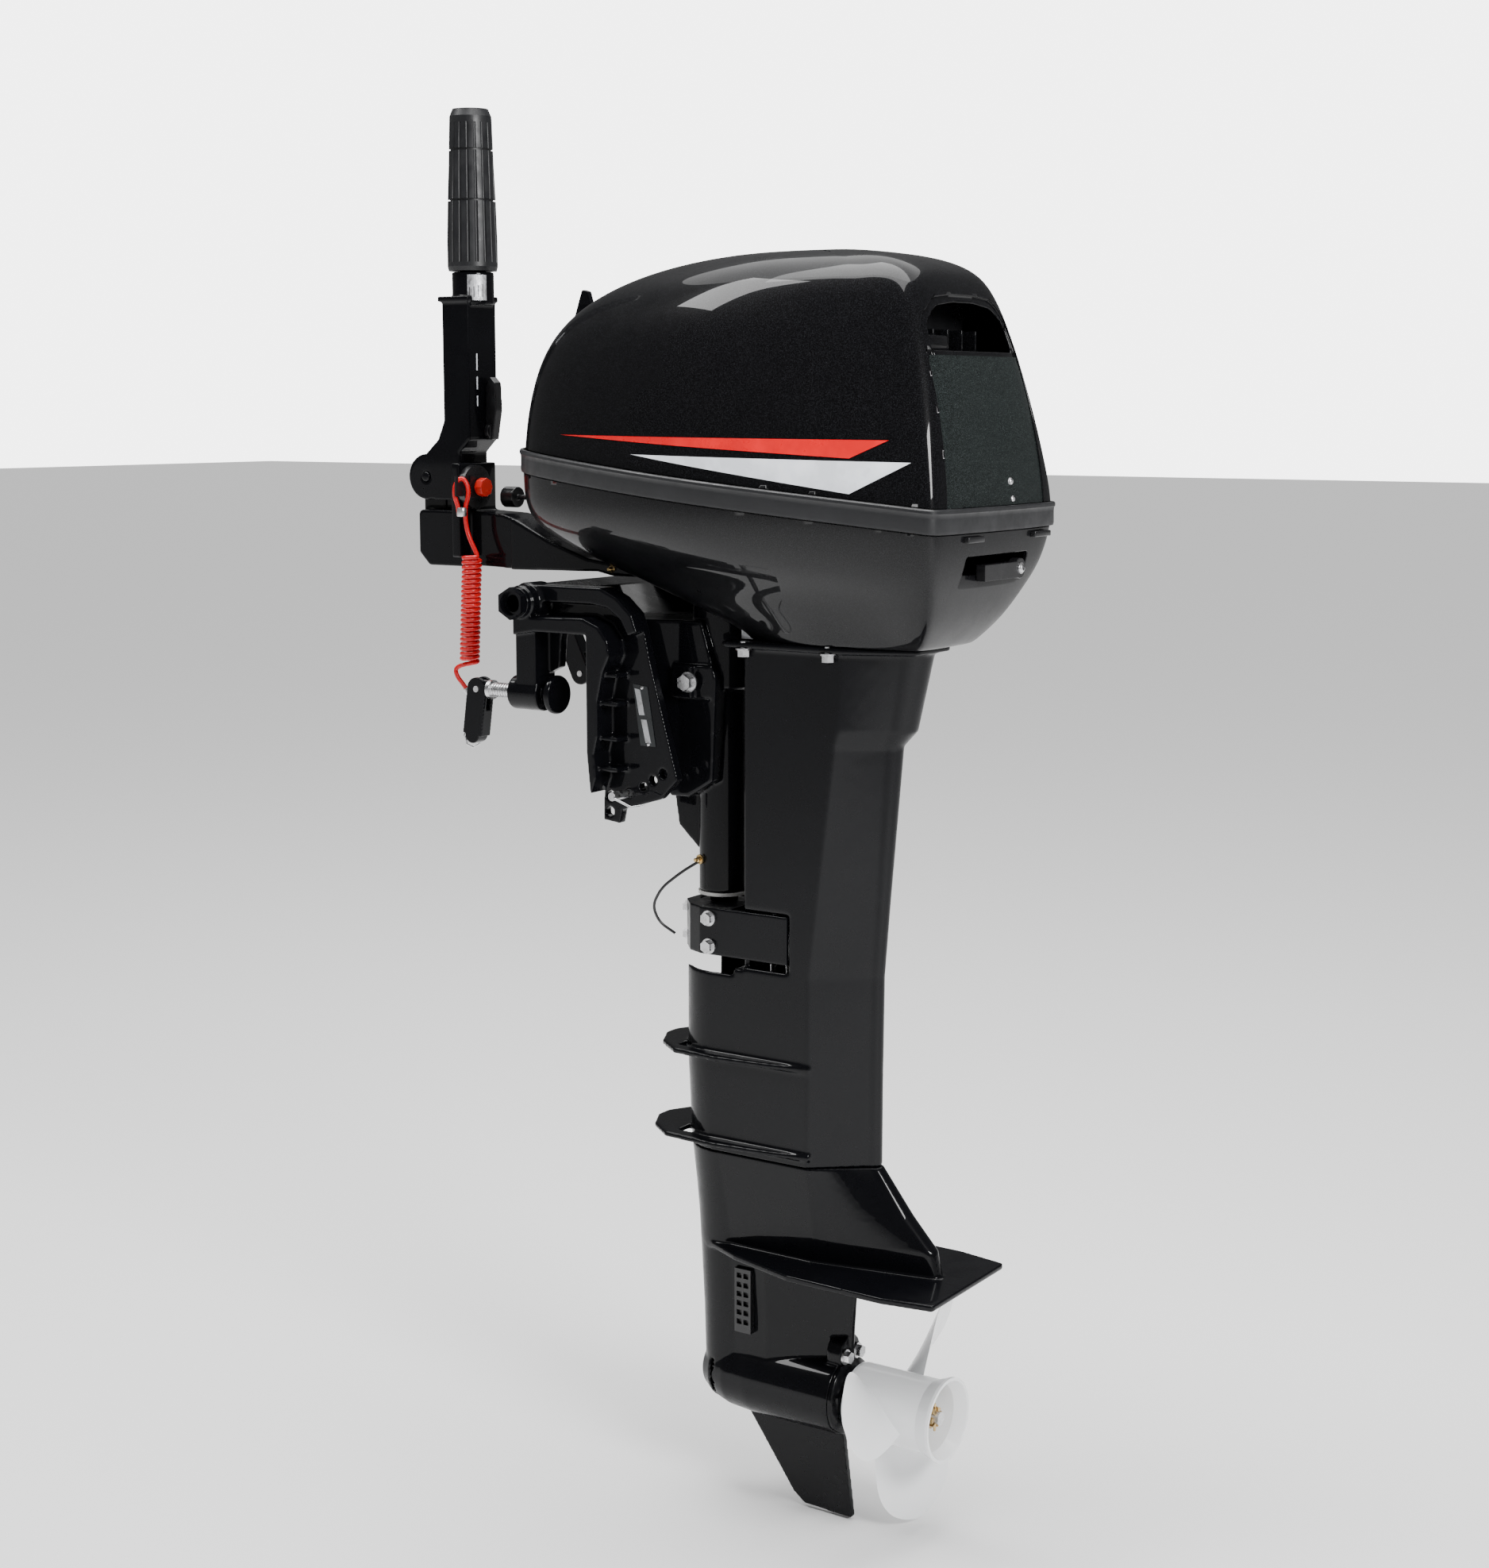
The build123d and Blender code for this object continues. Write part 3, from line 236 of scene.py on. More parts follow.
def cowl_paint(name, base, sparkle):
    shader = Shader(name, base, 0.32, coat=0.42, coat_roughness=0.02, specular=0.03)
    flake(shader, 2600, 0.30, sparkle)
    shader.colour_by(shader.ramp(shader.noise(9, 3), 0.45, 0.8, 0, 0.35), tuple(c * 2.0 for c in base))
    shader.roughness_by(shader.noise(40, 4), 0.26, 0.40)
    return shader.bump(shader.noise(300, 2), 0.000006, 0.5).material


def cast_paint(name, base, gloss=0.25, grain=0.000012, rub=(0.05, 0.05, 0.052)):
    """Gloss paint over an aluminium casting: orange peel, uneven tone and rubbed edges."""
    shader = Shader(name, base, gloss, coat=0.34, coat_roughness=0.035, specular=0.03)
    paler = tuple(min(c * 1.7 + 0.001, 0.92) for c in base)
    shader.colour_by(shader.ramp(shader.noise(14, 5), 0.5, 0.8, 0, 0.4), paler)
    shader.worn_edges(rub, 0.68, 0.80)
    shader.roughness_by(shader.noise(60, 5), gloss * 0.8, gloss * 1.7)
    shader.bump(shader.noise(220, 2), grain, 0.6)
    return shader.bump(shader.noise(1400, 2), grain * 0.3, 0.5).material


def moulded(name, base, roughness, grain=0.00005):
    shader = Shader(name, base, roughness)
    shader.colour_by(shader.ramp(shader.noise(30, 4), 0.45, 0.75, 0, 0.5), tuple(c * 1.7 + 0.003 for c in base))
    shader.roughness_by(shader.noise(80, 4), roughness * 0.8, roughness * 1.25)
    return shader.bump(shader.noise(900, 3), grain, 0.8).material


def metal(name, base, roughness=0.28, tarnish=(0.25, 0.24, 0.22)):
    shader = Shader(name, base, roughness, metallic=1.0)
    shader.colour_by(shader.ramp(shader.noise(120, 5, 0.6), 0.5, 0.75, 0, 0.7), tarnish)
    shader.roughness_by(shader.noise(300, 4), roughness * 0.7, roughness * 1.6)
    return shader.bump(shader.noise(1200, 3), 0.00003, 0.6).material


MATERIALS = {
    "black_gloss": cowl_paint("cowl_black", (0.0022, 0.0022, 0.0026), (0.016, 0.0165, 0.019)),
    "panel_grey": cowl_paint("panel_black", (0.006, 0.0078, 0.0078), (0.05, 0.062, 0.060)),
    "black_satin": cast_paint("leg_black", (0.0026, 0.0027, 0.0036)),
    "white_paint": cast_paint("propeller_white", (0.90, 0.91, 0.92), 0.16, 0.000006, (0.6, 0.6, 0.6)),
    "black_plastic": moulded("plastic_black", (0.006, 0.006, 0.0068), 0.3),
    "white_plastic": moulded("plastic_white", (0.78, 0.78, 0.76), 0.4),
    "red_plastic": moulded("plastic_red", (0.50, 0.012, 0.006), 0.3, 0.00002),
    "red_cord": moulded("cord_red", (0.58, 0.0015, 0.005), 0.26, 0.00001),
    "black_rubber": moulded("rubber_black", (0.006, 0.0063, 0.0076), 0.42, 0.00005),
    "steel": metal("steel", (0.66, 0.66, 0.67)),
    "copper": metal("copper", (0.62, 0.36, 0.20), 0.3),
    "brass": metal("brass", (0.62, 0.44, 0.20), 0.3, (0.22, 0.14, 0.06)),
    "alloy": metal("alloy", (0.55, 0.56, 0.58), 0.42),
    "iron": metal("iron", (0.22, 0.22, 0.23), 0.4),
    "plate_dark": moulded("plate_dark", (0.010, 0.012, 0.013), 0.3, 0.00001),
    "decal_red": moulded("decal_red", (0.72, 0.004, 0.008), 0.3, 0.000005),
    "decal_white": moulded("decal_white", (0.80, 0.83, 0.88), 0.3, 0.000005),
}


# ---- mesh helpers ----
def linked(name, data):
    obj = bpy.data.objects.new(name, data)
    bpy.context.collection.objects.link(obj)
    return obj


def outward(mesh, close=False):
    """Turns the faces outward, after closing any open ends."""
    edit = bmesh.new()
    edit.from_mesh(mesh)
    if close:
        bmesh.ops.holes_fill(edit, edges=[e for e in edit.edges if e.is_boundary])
    bmesh.ops.recalc_face_normals(edit, faces=edit.faces)
    edit.to_mesh(mesh)
    edit.free()


def dress(obj, body, slot, material=None):
    """Gives a piece its material, looked up by material or else by slot, and its body."""
    obj.data.materials.clear()
    obj.data.materials.append(MATERIALS[material or slot])
    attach(obj, body)


def new_object(name, mesh, body, slot, material=None):
    obj = linked(name, mesh)
    dress(obj, body, slot, material)
    return obj


def finish_piece(obj, body, slot, material=None, angle=30, replaces=()):
    """Smooth shading and dress, and the CAD nodes that the piece stands for."""
    smooth(obj.data, angle)
    dress(obj, body, slot, material)
    if replaces:
        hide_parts(*replaces)


def smooth(mesh, angle):
    mesh.polygons.foreach_set("use_smooth", [True] * len(mesh.polygons))
    mesh.set_sharp_from_angle(angle=math.radians(angle))
    mesh.update()


def apply_modifiers(obj):
    """Replaces the object's mesh by what its modifiers make of it."""
    bpy.context.view_layer.update()
    depsgraph = bpy.context.evaluated_depsgraph_get()
    made = bpy.data.meshes.new_from_object(obj.evaluated_get(depsgraph))
    obj.modifiers.clear()
    old, obj.data = obj.data, made
    bpy.data.meshes.remove(old)


def round_edges(obj, width, segments, angle):
    """Adds a bevel, width in millimetres, on edges sharper than the angle."""
    bevel = obj.modifiers.new("edge", "BEVEL")
    bevel.width, bevel.segments = width * MM, segments
    bevel.limit_method, bevel.angle_limit = "ANGLE", math.radians(angle)
    return bevel


def circle(a, b, radius, count=32):
    return [(a + radius * math.cos(t), b + radius * math.sin(t))
            for t in np.linspace(0, 2 * math.pi, count, endpoint=False)]


def cast_piece(node, voxel, passes):
    """A casting with rounded edges in place of the CAD node: remeshed, then relaxed a little."""
    obj = linked(f"{node}_casting", NODES[node].data.copy())
    remesh = obj.modifiers.new("remesh", "REMESH")
    remesh.mode, remesh.voxel_size = "VOXEL", voxel * MM
    relax = obj.modifiers.new("relax", "SMOOTH")
    relax.factor, relax.iterations = 0.5, passes
    apply_modifiers(obj)
    if node in SCREW_BORES:  # relaxing narrows the hole, so it is cut again
        cut_by(obj, prism(circle(*SCREW_BORES[node], 7.9), -110, -40, "X"))
    finish_piece(obj, BODY_OF[node], SLOT_OF[node], angle=60, replaces=(node,))


def grid_mesh(name, points, closed_u=False, closed_v=False):
    """A quad mesh from rows of points (rows along v, columns along u)."""
    rows, columns = len(points), len(points[0])
    verts = [tuple(p) for row in points for p in row]
    faces = []
    for j in range(rows if closed_v else rows - 1):
        for i in range(columns if closed_u else columns - 1):
            a, b = j * columns + i, j * columns + (i + 1) % columns
            k = (j + 1) % rows
            faces.append((a, b, k * columns + (i + 1) % columns, k * columns + i))
    mesh = bpy.data.meshes.new(name)
    mesh.from_pydata(verts, [], faces)
    return mesh


def cubic(f):
    """Weights of four neighbouring points at a fraction f of a uniform cubic B-spline."""
    return ((1 - f) ** 3 / 6, (3 * f ** 3 - 6 * f ** 2 + 4) / 6, (-3 * f ** 3 + 3 * f ** 2 + 3 * f + 1) / 6,
            f ** 3 / 6)


def spline_weights(count, samples, closed):
    """Rows of uniform cubic B-spline weights; an open spline starts and ends on its end points."""
    weights = []
    if closed:
        for t in np.linspace(0, count, samples, endpoint=False):
            row, i, f = np.zeros(count), int(t), t - int(t)
            for k, w in enumerate(cubic(f)):
                row[(i + k - 1) % count] += w
            weights.append(row)
        return np.array(weights)
    for t in np.linspace(0, count + 1, samples):
        i = min(int(t), count)
        f = t - i
        row = np.zeros(count)
        for k, w in enumerate(cubic(f)):
            row[min(max(i + k - 2, 0), count - 1)] += w
        weights.append(row)
    return np.array(weights)


def spline_surface(net, across, along):
    """Points of a B-spline surface over a net of rows, closed round each row."""
    net = np.array(net, float)
    u = spline_weights(net.shape[1], across, True)
    v = spline_weights(net.shape[0], along, False)
    return np.einsum("ai,bj,jik->bak", u, v, net)


# ---- cowls ----
def seam_z(x):
    """Height of the joint line between the cowls, in millimetres."""
    return SEAM_Z0 + SEAM_SLOPE * x


def cowl_row(z, front, rear, half_front, half_mid, half_rear):
    """Control points of one level of a cowl, round nose first, to port and back by starboard."""
    length = rear - front
    soft = min(max((z - 130) / 90, 0), 1)
    port = [
        (front + 0.3, half_front * 0.52), (front + half_front * 0.30, half_front * 0.98),
        (front + length * 0.27, half_front + (half_mid - half_front) * 0.66),
        (front + length * 0.45, half_mid * 1.012), (front + length * 0.62, half_mid * 1.012),
        (front + length * 0.80, half_rear + (half_mid - half_rear) * 0.62),
        (rear - 26 - 20 * soft, half_rear * 1.02), (rear - 6 - 11 * soft, half_rear * (1 - 0.02 * soft)),
        (rear - 2.5 - 1.5 * soft, half_rear * (0.93 - 0.06 * soft)), (rear - 0.5, half_rear * 0.55),
    ]
    row = [(front, 0)] + [(x, -y) for x, y in port] + [(rear, 0)] + [(x, y) for x, y in reversed(port)]
    return [(x, y, z) for x, y in row]


COWL_ROWS = (  # z, front, rear, half widths at front, middle and rear
    (104, -112, 368, 84, 131, 110), (130, -112, 367, 83.5, 130, 109), (160, -111, 364, 82, 128, 106),
    (195, -108, 359, 79, 125, 102), (228, -101, 352, 74, 119, 97), (256, -90, 344, 67, 111.5, 92),
    (280, -70, 336, 60, 103, 87), (300, -41, 328, 51, 93, 81), (316, -2, 318, 43, 82, 73),
    (327, 40, 300, 34, 66, 60), (334, 82, 272, 25, 46, 42), (338, 120, 232, 12, 22, 22),
    (339, 150, 200, 3, 6, 6),
)
PAN_ROWS = (
    (-1.5, 122, 318, 36, 52, 46), (-1.5, 121, 322, 38, 54, 48), (8, 116, 331, 41, 58, 56),
    (24, 72, 343, 44, 66, 70), (46, 16, 353, 50, 80, 85), (66, -40, 361, 60, 104, 99),
    (88, -91, 366, 75, 122, 106),
    (108, -109, 368, 83, 130.5, 110), (135, *SEAM_OUTLINE), (172, *SEAM_OUTLINE),
)


def cut_by(obj, cutter, operation="DIFFERENCE"):
    """Applies a boolean with a throwaway object."""
    boolean = obj.modifiers.new("cut", "BOOLEAN")
    boolean.operation, boolean.object, boolean.solver = operation, cutter, "EXACT"
    apply_modifiers(obj)
    bpy.data.objects.remove(cutter)
    return obj


def prism(points, low, high, axis="Y", name="cutter"):
    """A closed prism of an outline in millimetres, from (y, z) along X or from (x, z) along Y."""
    place = 0 if axis == "X" else 1
    count = len(points)
    verts = [Vector((*point[:place], end, *point[place:])) * MM for end in (low, high) for point in points]
    faces = [tuple(range(count)), tuple(range(2 * count - 1, count - 1, -1))]
    faces += [(i, count + i, count + (i + 1) % count, (i + 1) % count) for i in range(count)]
    mesh = bpy.data.meshes.new(name)
    mesh.from_pydata(verts, [], faces)
    outward(mesh)
    return linked(name, mesh)


def rounded(points, radius, steps=5):
    """An outline with its corners rounded."""
    made = []
    count = len(points)
    for i in range(count):
        a, b, c = (Vector(points[j % count]) for j in (i - 1, i, i + 1))
        u, v = (a - b), (c - b)
        reach = min(radius, u.length * 0.45, v.length * 0.45)
        start, end = b + u.normalized() * reach, b + v.normalized() * reach
        for k in range(steps + 1):
            t = k / steps
            made.append(tuple(start * (1 - t) ** 2 + b * 2 * t * (1 - t) + end * t ** 2))
    return made


def half_space(offset, above):
    """Everything above or below the plane of the joint line."""
    left, right, far = -300, 600, 900 if above else -900
    return prism([(left, seam_z(left) + offset), (right, seam_z(right) + offset), (right, far), (left, far)],
                 -400, 400)


def cowl_block(name, rows, depth=0, drop=0):
    """The solid inside a cowl's outer surface, set in by depth; drop lowers its first row."""
    inset = []
    for z, front, rear, *halves in rows:
        if z == rows[0][0]:
            z -= drop
        elif z > CROWN_Z:
            z -= depth
        inset.append((z, front + depth, rear - depth, *(max(half - depth, 0.6 * half) for half in halves)))
    mesh = grid_mesh(name, spline_surface([cowl_row(*row) for row in inset], 200, 90) * MM, closed_u=True)
    outward(mesh, close=True)
    return linked(name, mesh)


def shell(name, rows, thickness, drop=8):
    """A cowl wall between its outer surface and the same surface set in."""
    return cut_by(cowl_block(name, rows), cowl_block("inside", rows, thickness, drop))


def side_y(x, z, rows):
    """Half width of a cowl's side at x and z, in millimetres."""
    net = np.array([cowl_row(*row) for row in rows], float)
    v = spline_weights(net.shape[0], 400, False)
    heights = v @ net[:, 0, 2]
    weights = np.array([np.interp(z, heights, v[:, i]) for i in range(net.shape[0])])
    u = spline_weights(net.shape[1], 400, True)
    level = np.einsum("ai,ik->ak", u, np.einsum("j,jik->ik", weights, net))
    port = level[(level[:, 1] < -20) & (level[:, 0] < 352)]
    order = np.argsort(port[:, 0])
    return -np.interp(x, port[order, 0], port[order, 1])


def film(obj, thickness):
    wall = obj.modifiers.new("film", "SOLIDIFY")
    wall.thickness, wall.offset = thickness * MM, 0
    apply_modifiers(obj)


def decal(name, outline, material, lift=0.35):
    """A thin film on the port and starboard sides of the top cowl, from its three corners in side view."""
    a, b, c = (Vector(p) for p in outline)
    for side, word in ((-1, "port"), (1, "starboard")):
        points = []
        for s in np.linspace(0, 1, 27):
            row = []
            for t in np.linspace(0, 1, 9):
                p = a * (1 - s) + (b * (1 - t) + c * t) * s
                row.append(Vector((p.x, side * (side_y(p.x, p.y, COWL_ROWS) + lift), p.y)) * MM)
            points.append(row)
        mesh = grid_mesh(f"{name}_{word}", points)
        edit = bmesh.new()
        edit.from_mesh(mesh)
        bmesh.ops.remove_doubles(edit, verts=edit.verts, dist=0.00002)
        edit.to_mesh(mesh)
        edit.free()
        obj = linked(f"{name}_{word}", mesh)
        film(obj, 0.25)
        finish_piece(obj, "cowl", "black_gloss", material, 50)


# recesses and the air opening in the rear of the top cowl, as (y, z) outlines
PANEL_OUTLINE = rounded([(-88, 100), (88, 100), (79, 247), (-79, 247)], 6)
HOOD_OUTLINE = rounded([(-80, 243), (80, 243), (76, 276), (52, 294), (20, 297), (-20, 297), (-52, 294),
                        (-76, 276)], 8)
INTAKE_OUTLINE = rounded([(-71, 250), (71, 250), (67, 274), (48, 287), (18, 290.5), (-18, 290.5), (-48, 287),
                          (-67, 274)], 6)


def box(name, low, high, body, slot, material, bevel=0.6):
    """A block between two corners in millimetres, with rounded edges."""
    x0, y0, z0, x1, y1, z1 = *low, *high
    obj = prism([(x0, z0), (x1, z0), (x1, z1), (x0, z1)], y0, y1, "Y", name)
    round_edges(obj, bevel, 3, 30)
    apply_modifiers(obj)
    finish_piece(obj, body, slot, material)


def make_intake():
    """Air trunk behind the rear opening: a shelf, a back wall, louvres and a step."""
    box("intake_floor", (290, -66, 246), (338, 66, 249.4), "cowl", "black_gloss", "black_plastic")
    box("intake_back", (288, -70, 246), (291, 70, 292), "cowl", "black_gloss", "black_plastic")
    for k, y in enumerate((-52, -22, 8, 38)):
        box(f"intake_vane_{k}", (293, y, 250), (330 - 3 * k, y + 2.4, 268),
            "cowl", "black_gloss", "black_gloss", 0.4)
    box("intake_step", (300, -66, 250), (332, -30, 263), "cowl", "black_gloss", "black_gloss", 2)


def screw(name, place, direction, body, radius):
    """A domed socket-head screw."""
    head = ((1.25, 0), (1.25, 0.7), (1, 0.8), (0.94, 1.8), (0.7, 2.6), (0.5, 2.8), (0.48, 1.4), (0, 1.3))
    turned(name, [(radius * share, along) for share, along in head], place, direction, body, "steel")


def plate(name, corners, thickness, body, slot, material):
    """A thin plate through four corners given in millimetres."""
    a, b, c, d = (Vector(p) for p in corners)
    out = (b - a).cross(d - a).normalized() * thickness
    verts = [tuple(p * MM) for p in (a, b, c, d, a + out, b + out, c + out, d + out)]
    faces = [(3, 2, 1, 0), (4, 5, 6, 7), (0, 1, 5, 4), (1, 2, 6, 5), (2, 3, 7, 6), (3, 0, 4, 7)]
    mesh = bpy.data.meshes.new(name)
    mesh.from_pydata(verts, [], faces)
    return new_object(name, mesh, body, slot, material)


def make_bracket_details():
    """A blank data plate with two rivets, the grease nipple and lug of the bonding wire."""
    y = -BRACKET_WEB_Y - 0.2
    plate("data_plate", [(36, y, -44), (52, y, -46), (61, y, -100), (44, y, -100)], -0.5,
          "clamp", "black_satin", "plate_dark")
    fields = (((38, -48), (44, -49), (49, -72), (43, -72)), ((45, -76), (51, -76), (56, -97), (50, -97)))
    for k, corners in enumerate(fields):
        plate(f"data_field_{k}", [(x, y - 0.4, z) for x, z in corners], -0.4, "clamp", "steel", "alloy")
    for k, (x, z) in enumerate(((46, -47), (53, -98))):
        turned(f"data_rivet_{k}", [(1.8, 0), (1.6, 0.8), (0.8, 1.3), (0, 1.4)], (x, y - 0.5, z), (0, -1, 0),
               "clamp", "steel")
    lug = [(4.6, 0), (4.6, 1.4), (2.6, 1.5), (2.6, 3.4), (1.6, 4.2), (1.8, 6.5), (1.2, 7.2), (0, 7.3)]
    turned("wire_lug", lug, (73, -21.6, -210), (-0.3, -1, 0), "swivel", "brass")
    turned("grease_nipple", [(3.4, -4), (3.4, 0), (2.2, 0.6), (1.6, 2), (2.1, 4), (1.3, 5.4), (0, 5.5)],
           (-20, -30.4, 55), (0, -1, 0), "steer", "brass")


def make_tiller_details():
    """The silver throttle scale on the collar, plain tick marks and the shift pattern as plain bars."""
    arc = [math.radians(a) for a in range(-66, -9, 6)]
    rows = [[Vector((TILLER_X + 20.3 * math.cos(a), 20.3 * math.sin(a), z)) * MM for a in arc]
            for z in (304, 328)]
    scale = new_object("throttle_scale", grid_mesh("throttle_scale", rows), "tiller", "alloy")
    film(scale, 0.2)
    for k, a in enumerate(arc[1:-1:2]):
        x, y = TILLER_X + 20.5 * math.cos(a), 20.5 * math.sin(a)
        tube(f"throttle_tick_{k}", [(x, y, 307), (x, y, 316 + k)], 0.35, "tiller", "alloy", "black_rubber")
    for k, (low, high) in enumerate(((204, 214), (220, 232), (238, 254))):
        corners = [(-195.7, y, z) for y, z in ((-9.5, low), (-8, low), (-8, high), (-9.5, high))]
        plate(f"shift_mark_{k}", corners, 0.25, "tiller", "black_satin", "decal_white")


def make_cowl_details():
    for k, (y, z) in enumerate(((24, 141), (27, 126))):
        screw(f"panel_screw_{k}", (364.2 - 0.033 * (z - 126), y, z), (1, 0, 0.04), "cowl", 2.9)
    screw("latch_screw", (365, 45, 66), (1, 0, 0), "latch", 4)
    for y0, y1, word in ((-58, -30, "port"), (62, 92, "starboard")):
        box(f"seal_tab_{word}", (357, y0, 92), (370, y1, 97), "steer", "black_satin", "black_plastic", 1)


def make_top_cowl():
    obj = shell("top_cowl_shell", COWL_ROWS, 4)
    cut_by(obj, half_space(BAND_TOP, False))
    cut_by(obj, prism(INTAKE_OUTLINE, 314, 400, "X"))
    for outline in (PANEL_OUTLINE, HOOD_OUTLINE):
        recess = prism(outline, 300, 400, "X")
        cut_by(recess, cowl_block("recess_depth", COWL_ROWS, 2.0, 8))
        cut_by(obj, recess)
    for side in (-1, 1):
        groove = prism([(side * 76, 250), (side * 70, 250), (side * 55, 183), (side * 57, 182)], 300, 400, "X")
        cut_by(groove, cowl_block("groove_depth", COWL_ROWS, 3.4, 8))
        cut_by(obj, groove)
    round_edges(obj, 0.7, 2, 50).use_clamp_overlap = False
    finish_piece(obj, "cowl", "black_gloss", angle=40, replaces=("top_cowl",))


def make_rear_panel():
    """The grey skin on the floor of the rear recess."""
    obj = cut_by(cowl_block("rear_panel_skin", COWL_ROWS, 1.2), cowl_block("inside", COWL_ROWS, 1.9, 8))
    cut_by(obj, prism(rounded([(-87.4, 121), (87.4, 121), (78.4, 246.2), (-78.4, 246.2)], 5), 325, 400, "X"),
           "INTERSECT")
    cut_by(obj, half_space(12.2, False))
    finish_piece(obj, "cowl", "panel_grey", angle=40, replaces=("rear_panel",))


def make_seal():
    """Rubber band round the joint with a lip along its top."""
    profile = [(-0.4, BAND_BOTTOM), (1.6, -8.6), (2.2, -6), (2.0, 4), (2.3, 7), (3.2, 8.4), (3.2, 10.6),
               (2.2, 11.8), (-0.4, BAND_TOP)]
    net = np.array(cowl_row(0, *SEAM_OUTLINE), float)
    line = spline_weights(len(net), 260, True) @ net
    ahead = np.roll(line, -1, axis=0) - np.roll(line, 1, axis=0)
    out = np.stack([-ahead[:, 1], ahead[:, 0]], axis=1)
    out /= np.linalg.norm(out, axis=1)[:, None]
    out *= np.sign((out * (line[:, :2] - np.array([128, 0]))).sum(axis=1))[:, None]
    points = []
    for reach, rise in profile:
        ring = [Vector((p[0] + n[0] * reach, p[1] + n[1] * reach, seam_z(p[0]) + rise)) * MM
                for p, n in zip(line, out)]
        points.append(ring)
    mesh = grid_mesh("seal_band", points, closed_u=True, closed_v=True)
    outward(mesh)
    obj = linked("seal_band", mesh)
    finish_piece(obj, "cowl", "black_rubber", angle=30, replaces=("cowl_seal",))


def make_bottom_cowl():
    obj = shell("bottom_cowl_shell", PAN_ROWS, 4, -4)
    cut_by(obj, half_space(-9.4, True))
    cut_by(obj, prism(rounded([(-50, 50), (62, 50), (62, 80), (-50, 80)], 4), 355.4, 400, "X"))
    arm = [(-140, 44), (118, 44), (118, 64), (-20, 64), (-50, 67), (-92, 81), (-140, 100)]
    cut_by(obj, prism(arm, -32, 32))
    for y, z, r in ((10, 117, 2.6), (50, 121, 3.2)):
        cut_by(obj, prism(circle(y, z, r), -140, -60, "X"))
    round_edges(obj, 0.7, 2, 50).use_clamp_overlap = False
    finish_piece(obj, "steer", "black_satin", "black_gloss", angle=40, replaces=("bottom_cowl",))


# ---- lanyard ----
LOOP_ROUTE = [(-190.2, -45.4, 100), (-190.6, -45.7, 109), (-193.4, -47.6, 118), (-193.6, -47.7, 127),
              (-190.4, -45.6, 135.5), (-185.6, -42.4, 135.5), (-182.4, -40.3, 127), (-182.6, -40.4, 118),
              (-185.2, -42.2, 109), (-185.4, -42.0, 96), (-183.2, -40.6, 81), (-180.6, -39, 66)]
COIL_TOP, COIL_END = Vector((-180.4, -38.9, 64)), Vector((-184, -41, -42))
TAIL_ROUTE = [(-197.5, -46.5, -44.5), (-196, -46.5, -54), (-188.5, -42.5, -64), (-183, -39, -76)]


def coil_points():
    """Turns of the coil, a little uneven, along its slanting axis."""
    axis = (COIL_END - COIL_TOP)
    side = axis.normalized().cross(Vector((0, 1, 0))).normalized()
    other = axis.normalized().cross(side)
    made = []
    total = COIL_TURNS * TURN_POINTS
    for k in range(total + 1):
        a = 2 * math.pi * k / TURN_POINTS
        f = (k / total) * 0.955 + 0.022
        r = COIL_MEAN_R * (1 + 0.012 * math.sin(k * 0.37)) / math.cos(math.pi / TURN_POINTS) ** 0.5
        made.append(tuple(COIL_TOP + axis * f + (side * math.cos(a) + other * math.sin(a)) * r))
    return made


def round_wire(name, places, radius, steps, sides):
    """A round curve through points in millimetres; its radius is in metres."""
    curve = bpy.data.curves.new(name, "CURVE")
    curve.dimensions = "3D"
    spline = curve.splines.new("NURBS")
    spline.points.add(len(places) - 1)
    for point, place in zip(spline.points, places):
        point.co = (*(c * MM for c in place), 1)
    spline.order_u = 3
    spline.use_endpoint_u = True
    spline.resolution_u = steps
    curve.bevel_depth = radius
    curve.bevel_resolution = sides
    curve.use_fill_caps = True
    return linked(name, curve)


def make_lanyard():
    obj = round_wire("lanyard", LOOP_ROUTE[:-1] + coil_points() + TAIL_ROUTE, CORD_R, 4, 4)
    obj.data.materials.append(MATERIALS["red_cord"])
    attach(obj, "clip")
    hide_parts("lanyard_loop", "lanyard_coil", "lanyard_tail")
    return obj


def tube(name, places, radius, body, slot, material):
    """A round rod through points, in millimetres."""
    wire = round_wire(name, places, radius * MM, 8, 3)
    mesh = bpy.data.meshes.new_from_object(wire)
    bpy.data.objects.remove(wire)
    mesh.polygons.foreach_set("use_smooth", [True] * len(mesh.polygons))
    return new_object(name, mesh, body, slot, material)


def turned(name, profile, place, direction, body, slot, segments=48):
    """A turned piece: (radius, distance) in millimetres along direction from place."""
    d = Vector(direction).normalized()
    side = d.orthogonal().normalized()
    other = d.cross(side)
    rows = []
    for radius, along in profile:
        ring = []
        for k in range(segments):
            a = 2 * math.pi * k / segments
            out = (side * math.cos(a) + other * math.sin(a)) * max(radius, 0.01)
            ring.append((Vector(place) + d * along + out) * MM)
        rows.append(ring)
    mesh = grid_mesh(name, rows, closed_u=True)
    outward(mesh, close=True)
    smooth(mesh, 30)
    return new_object(name, mesh, body, slot)


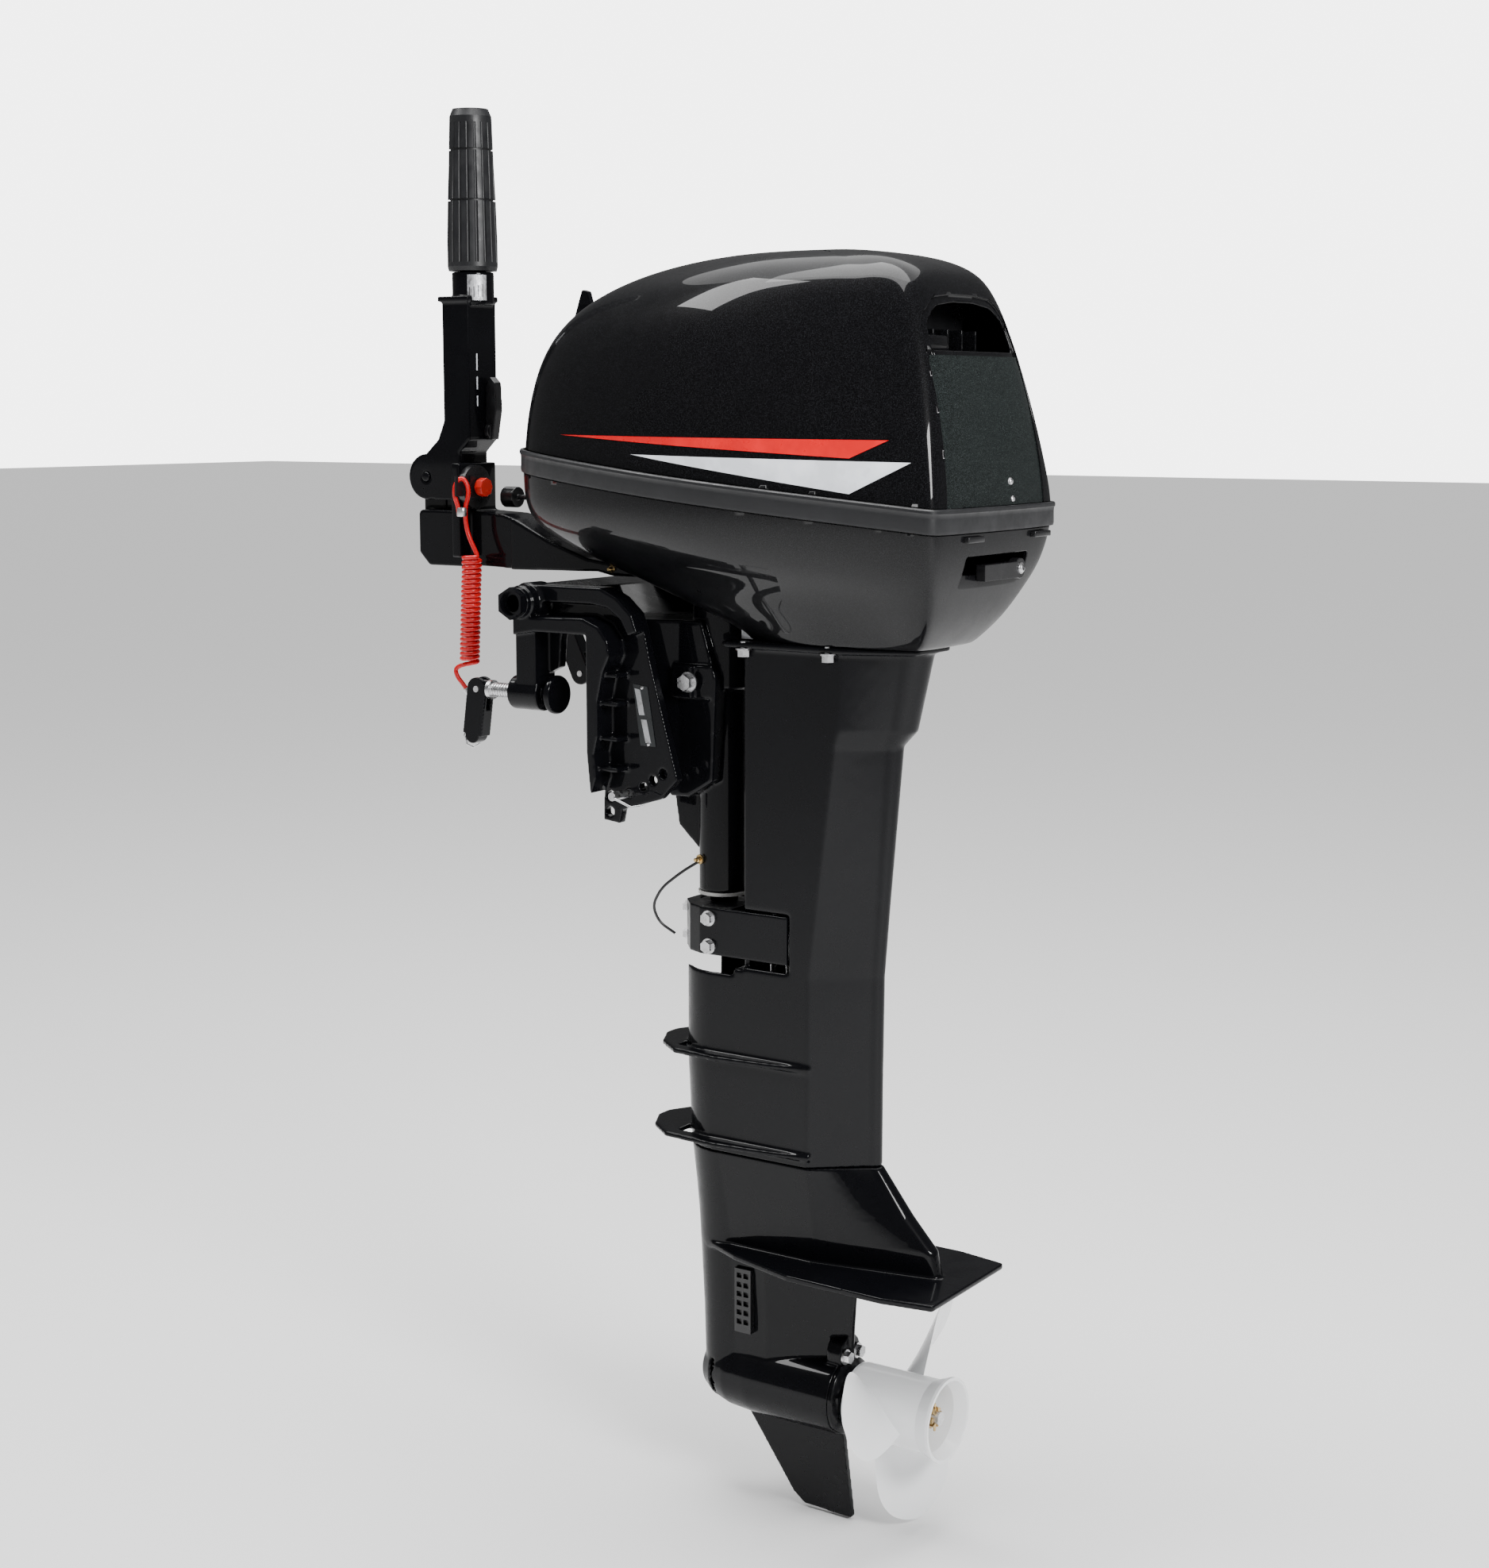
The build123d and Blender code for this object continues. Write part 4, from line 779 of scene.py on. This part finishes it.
def make_lanyard_metal():
    crimp = [(2.2, -4.5), (4.6, -4.2), (5.0, -3.4), (5.0, 3.4), (4.6, 4.2), (2.2, 4.5)]
    upper = turned("lanyard_crimp_upper", crimp, (-187.9, -43.8, 104), (0, 0, 1), "clip", "steel")
    small = [(radius * 0.72, along) for radius, along in crimp]
    lower = turned("lanyard_crimp_lower", small, (-186.2, -41, -69), (0.55, 0.35, -1), "clip", "steel")
    return [upper, lower]


# ---- castings and the remaining pieces ----
CASTINGS = {  # node: (voxel in mm, relaxing passes)
    "clamp_bracket_port": (0.9, 8), "clamp_bracket_starboard": (0.9, 8), "swivel_bracket": (1.1, 8),
    "steering_bracket": (1.1, 8), "lower_mount_housing": (0.8, 6), "upper_casing": (1.5, 8),
    "lower_unit": (1.2, 8), "bearing_carrier": (0.8, 4), "tiller_arm": (0.9, 8), "clamp_handle_port": (0.5, 8),
    "clamp_handle_starboard": (0.5, 8), "clamp_pad_port": (0.6, 4), "clamp_pad_starboard": (0.6, 4),
    "shift_lever": (0.8, 8), "friction_lever": (0.5, 8), "choke_knob": (0.5, 4), "starter_handle": (0.6, 6),
    "cowl_latch": (0.5, 4), "stop_button": (0.35, 4),
}


def finish_cad_nodes():
    """Materials and clean shading on the CAD nodes that stay."""
    for name, obj in NODES.items():
        obj.data.materials.clear()
        obj.data.materials.append(MATERIALS[PAINTED.get(name, SLOT_OF[name])])
        smooth(obj.data, 30)


make_camera()
make_floor()
make_light()
lanyard = make_lanyard()
crimps = make_lanyard_metal()
finish_cad_nodes()
for node, (voxel, passes) in CASTINGS.items():
    cast_piece(node, voxel, passes)
make_top_cowl()
make_rear_panel()
make_seal()
make_bottom_cowl()
make_intake()
make_cowl_details()
make_bracket_details()
make_tiller_details()
decal("stripe_red", [(-27, 179), (321, 177), (288, 162)], "decal_red")
decal("stripe_edge", [(187, 152.5), (251, 152), (252, 139)], "decal_red", 0.15)
decal("stripe_white", [(70, 163), (342, 159), (290, 133)], "decal_white")
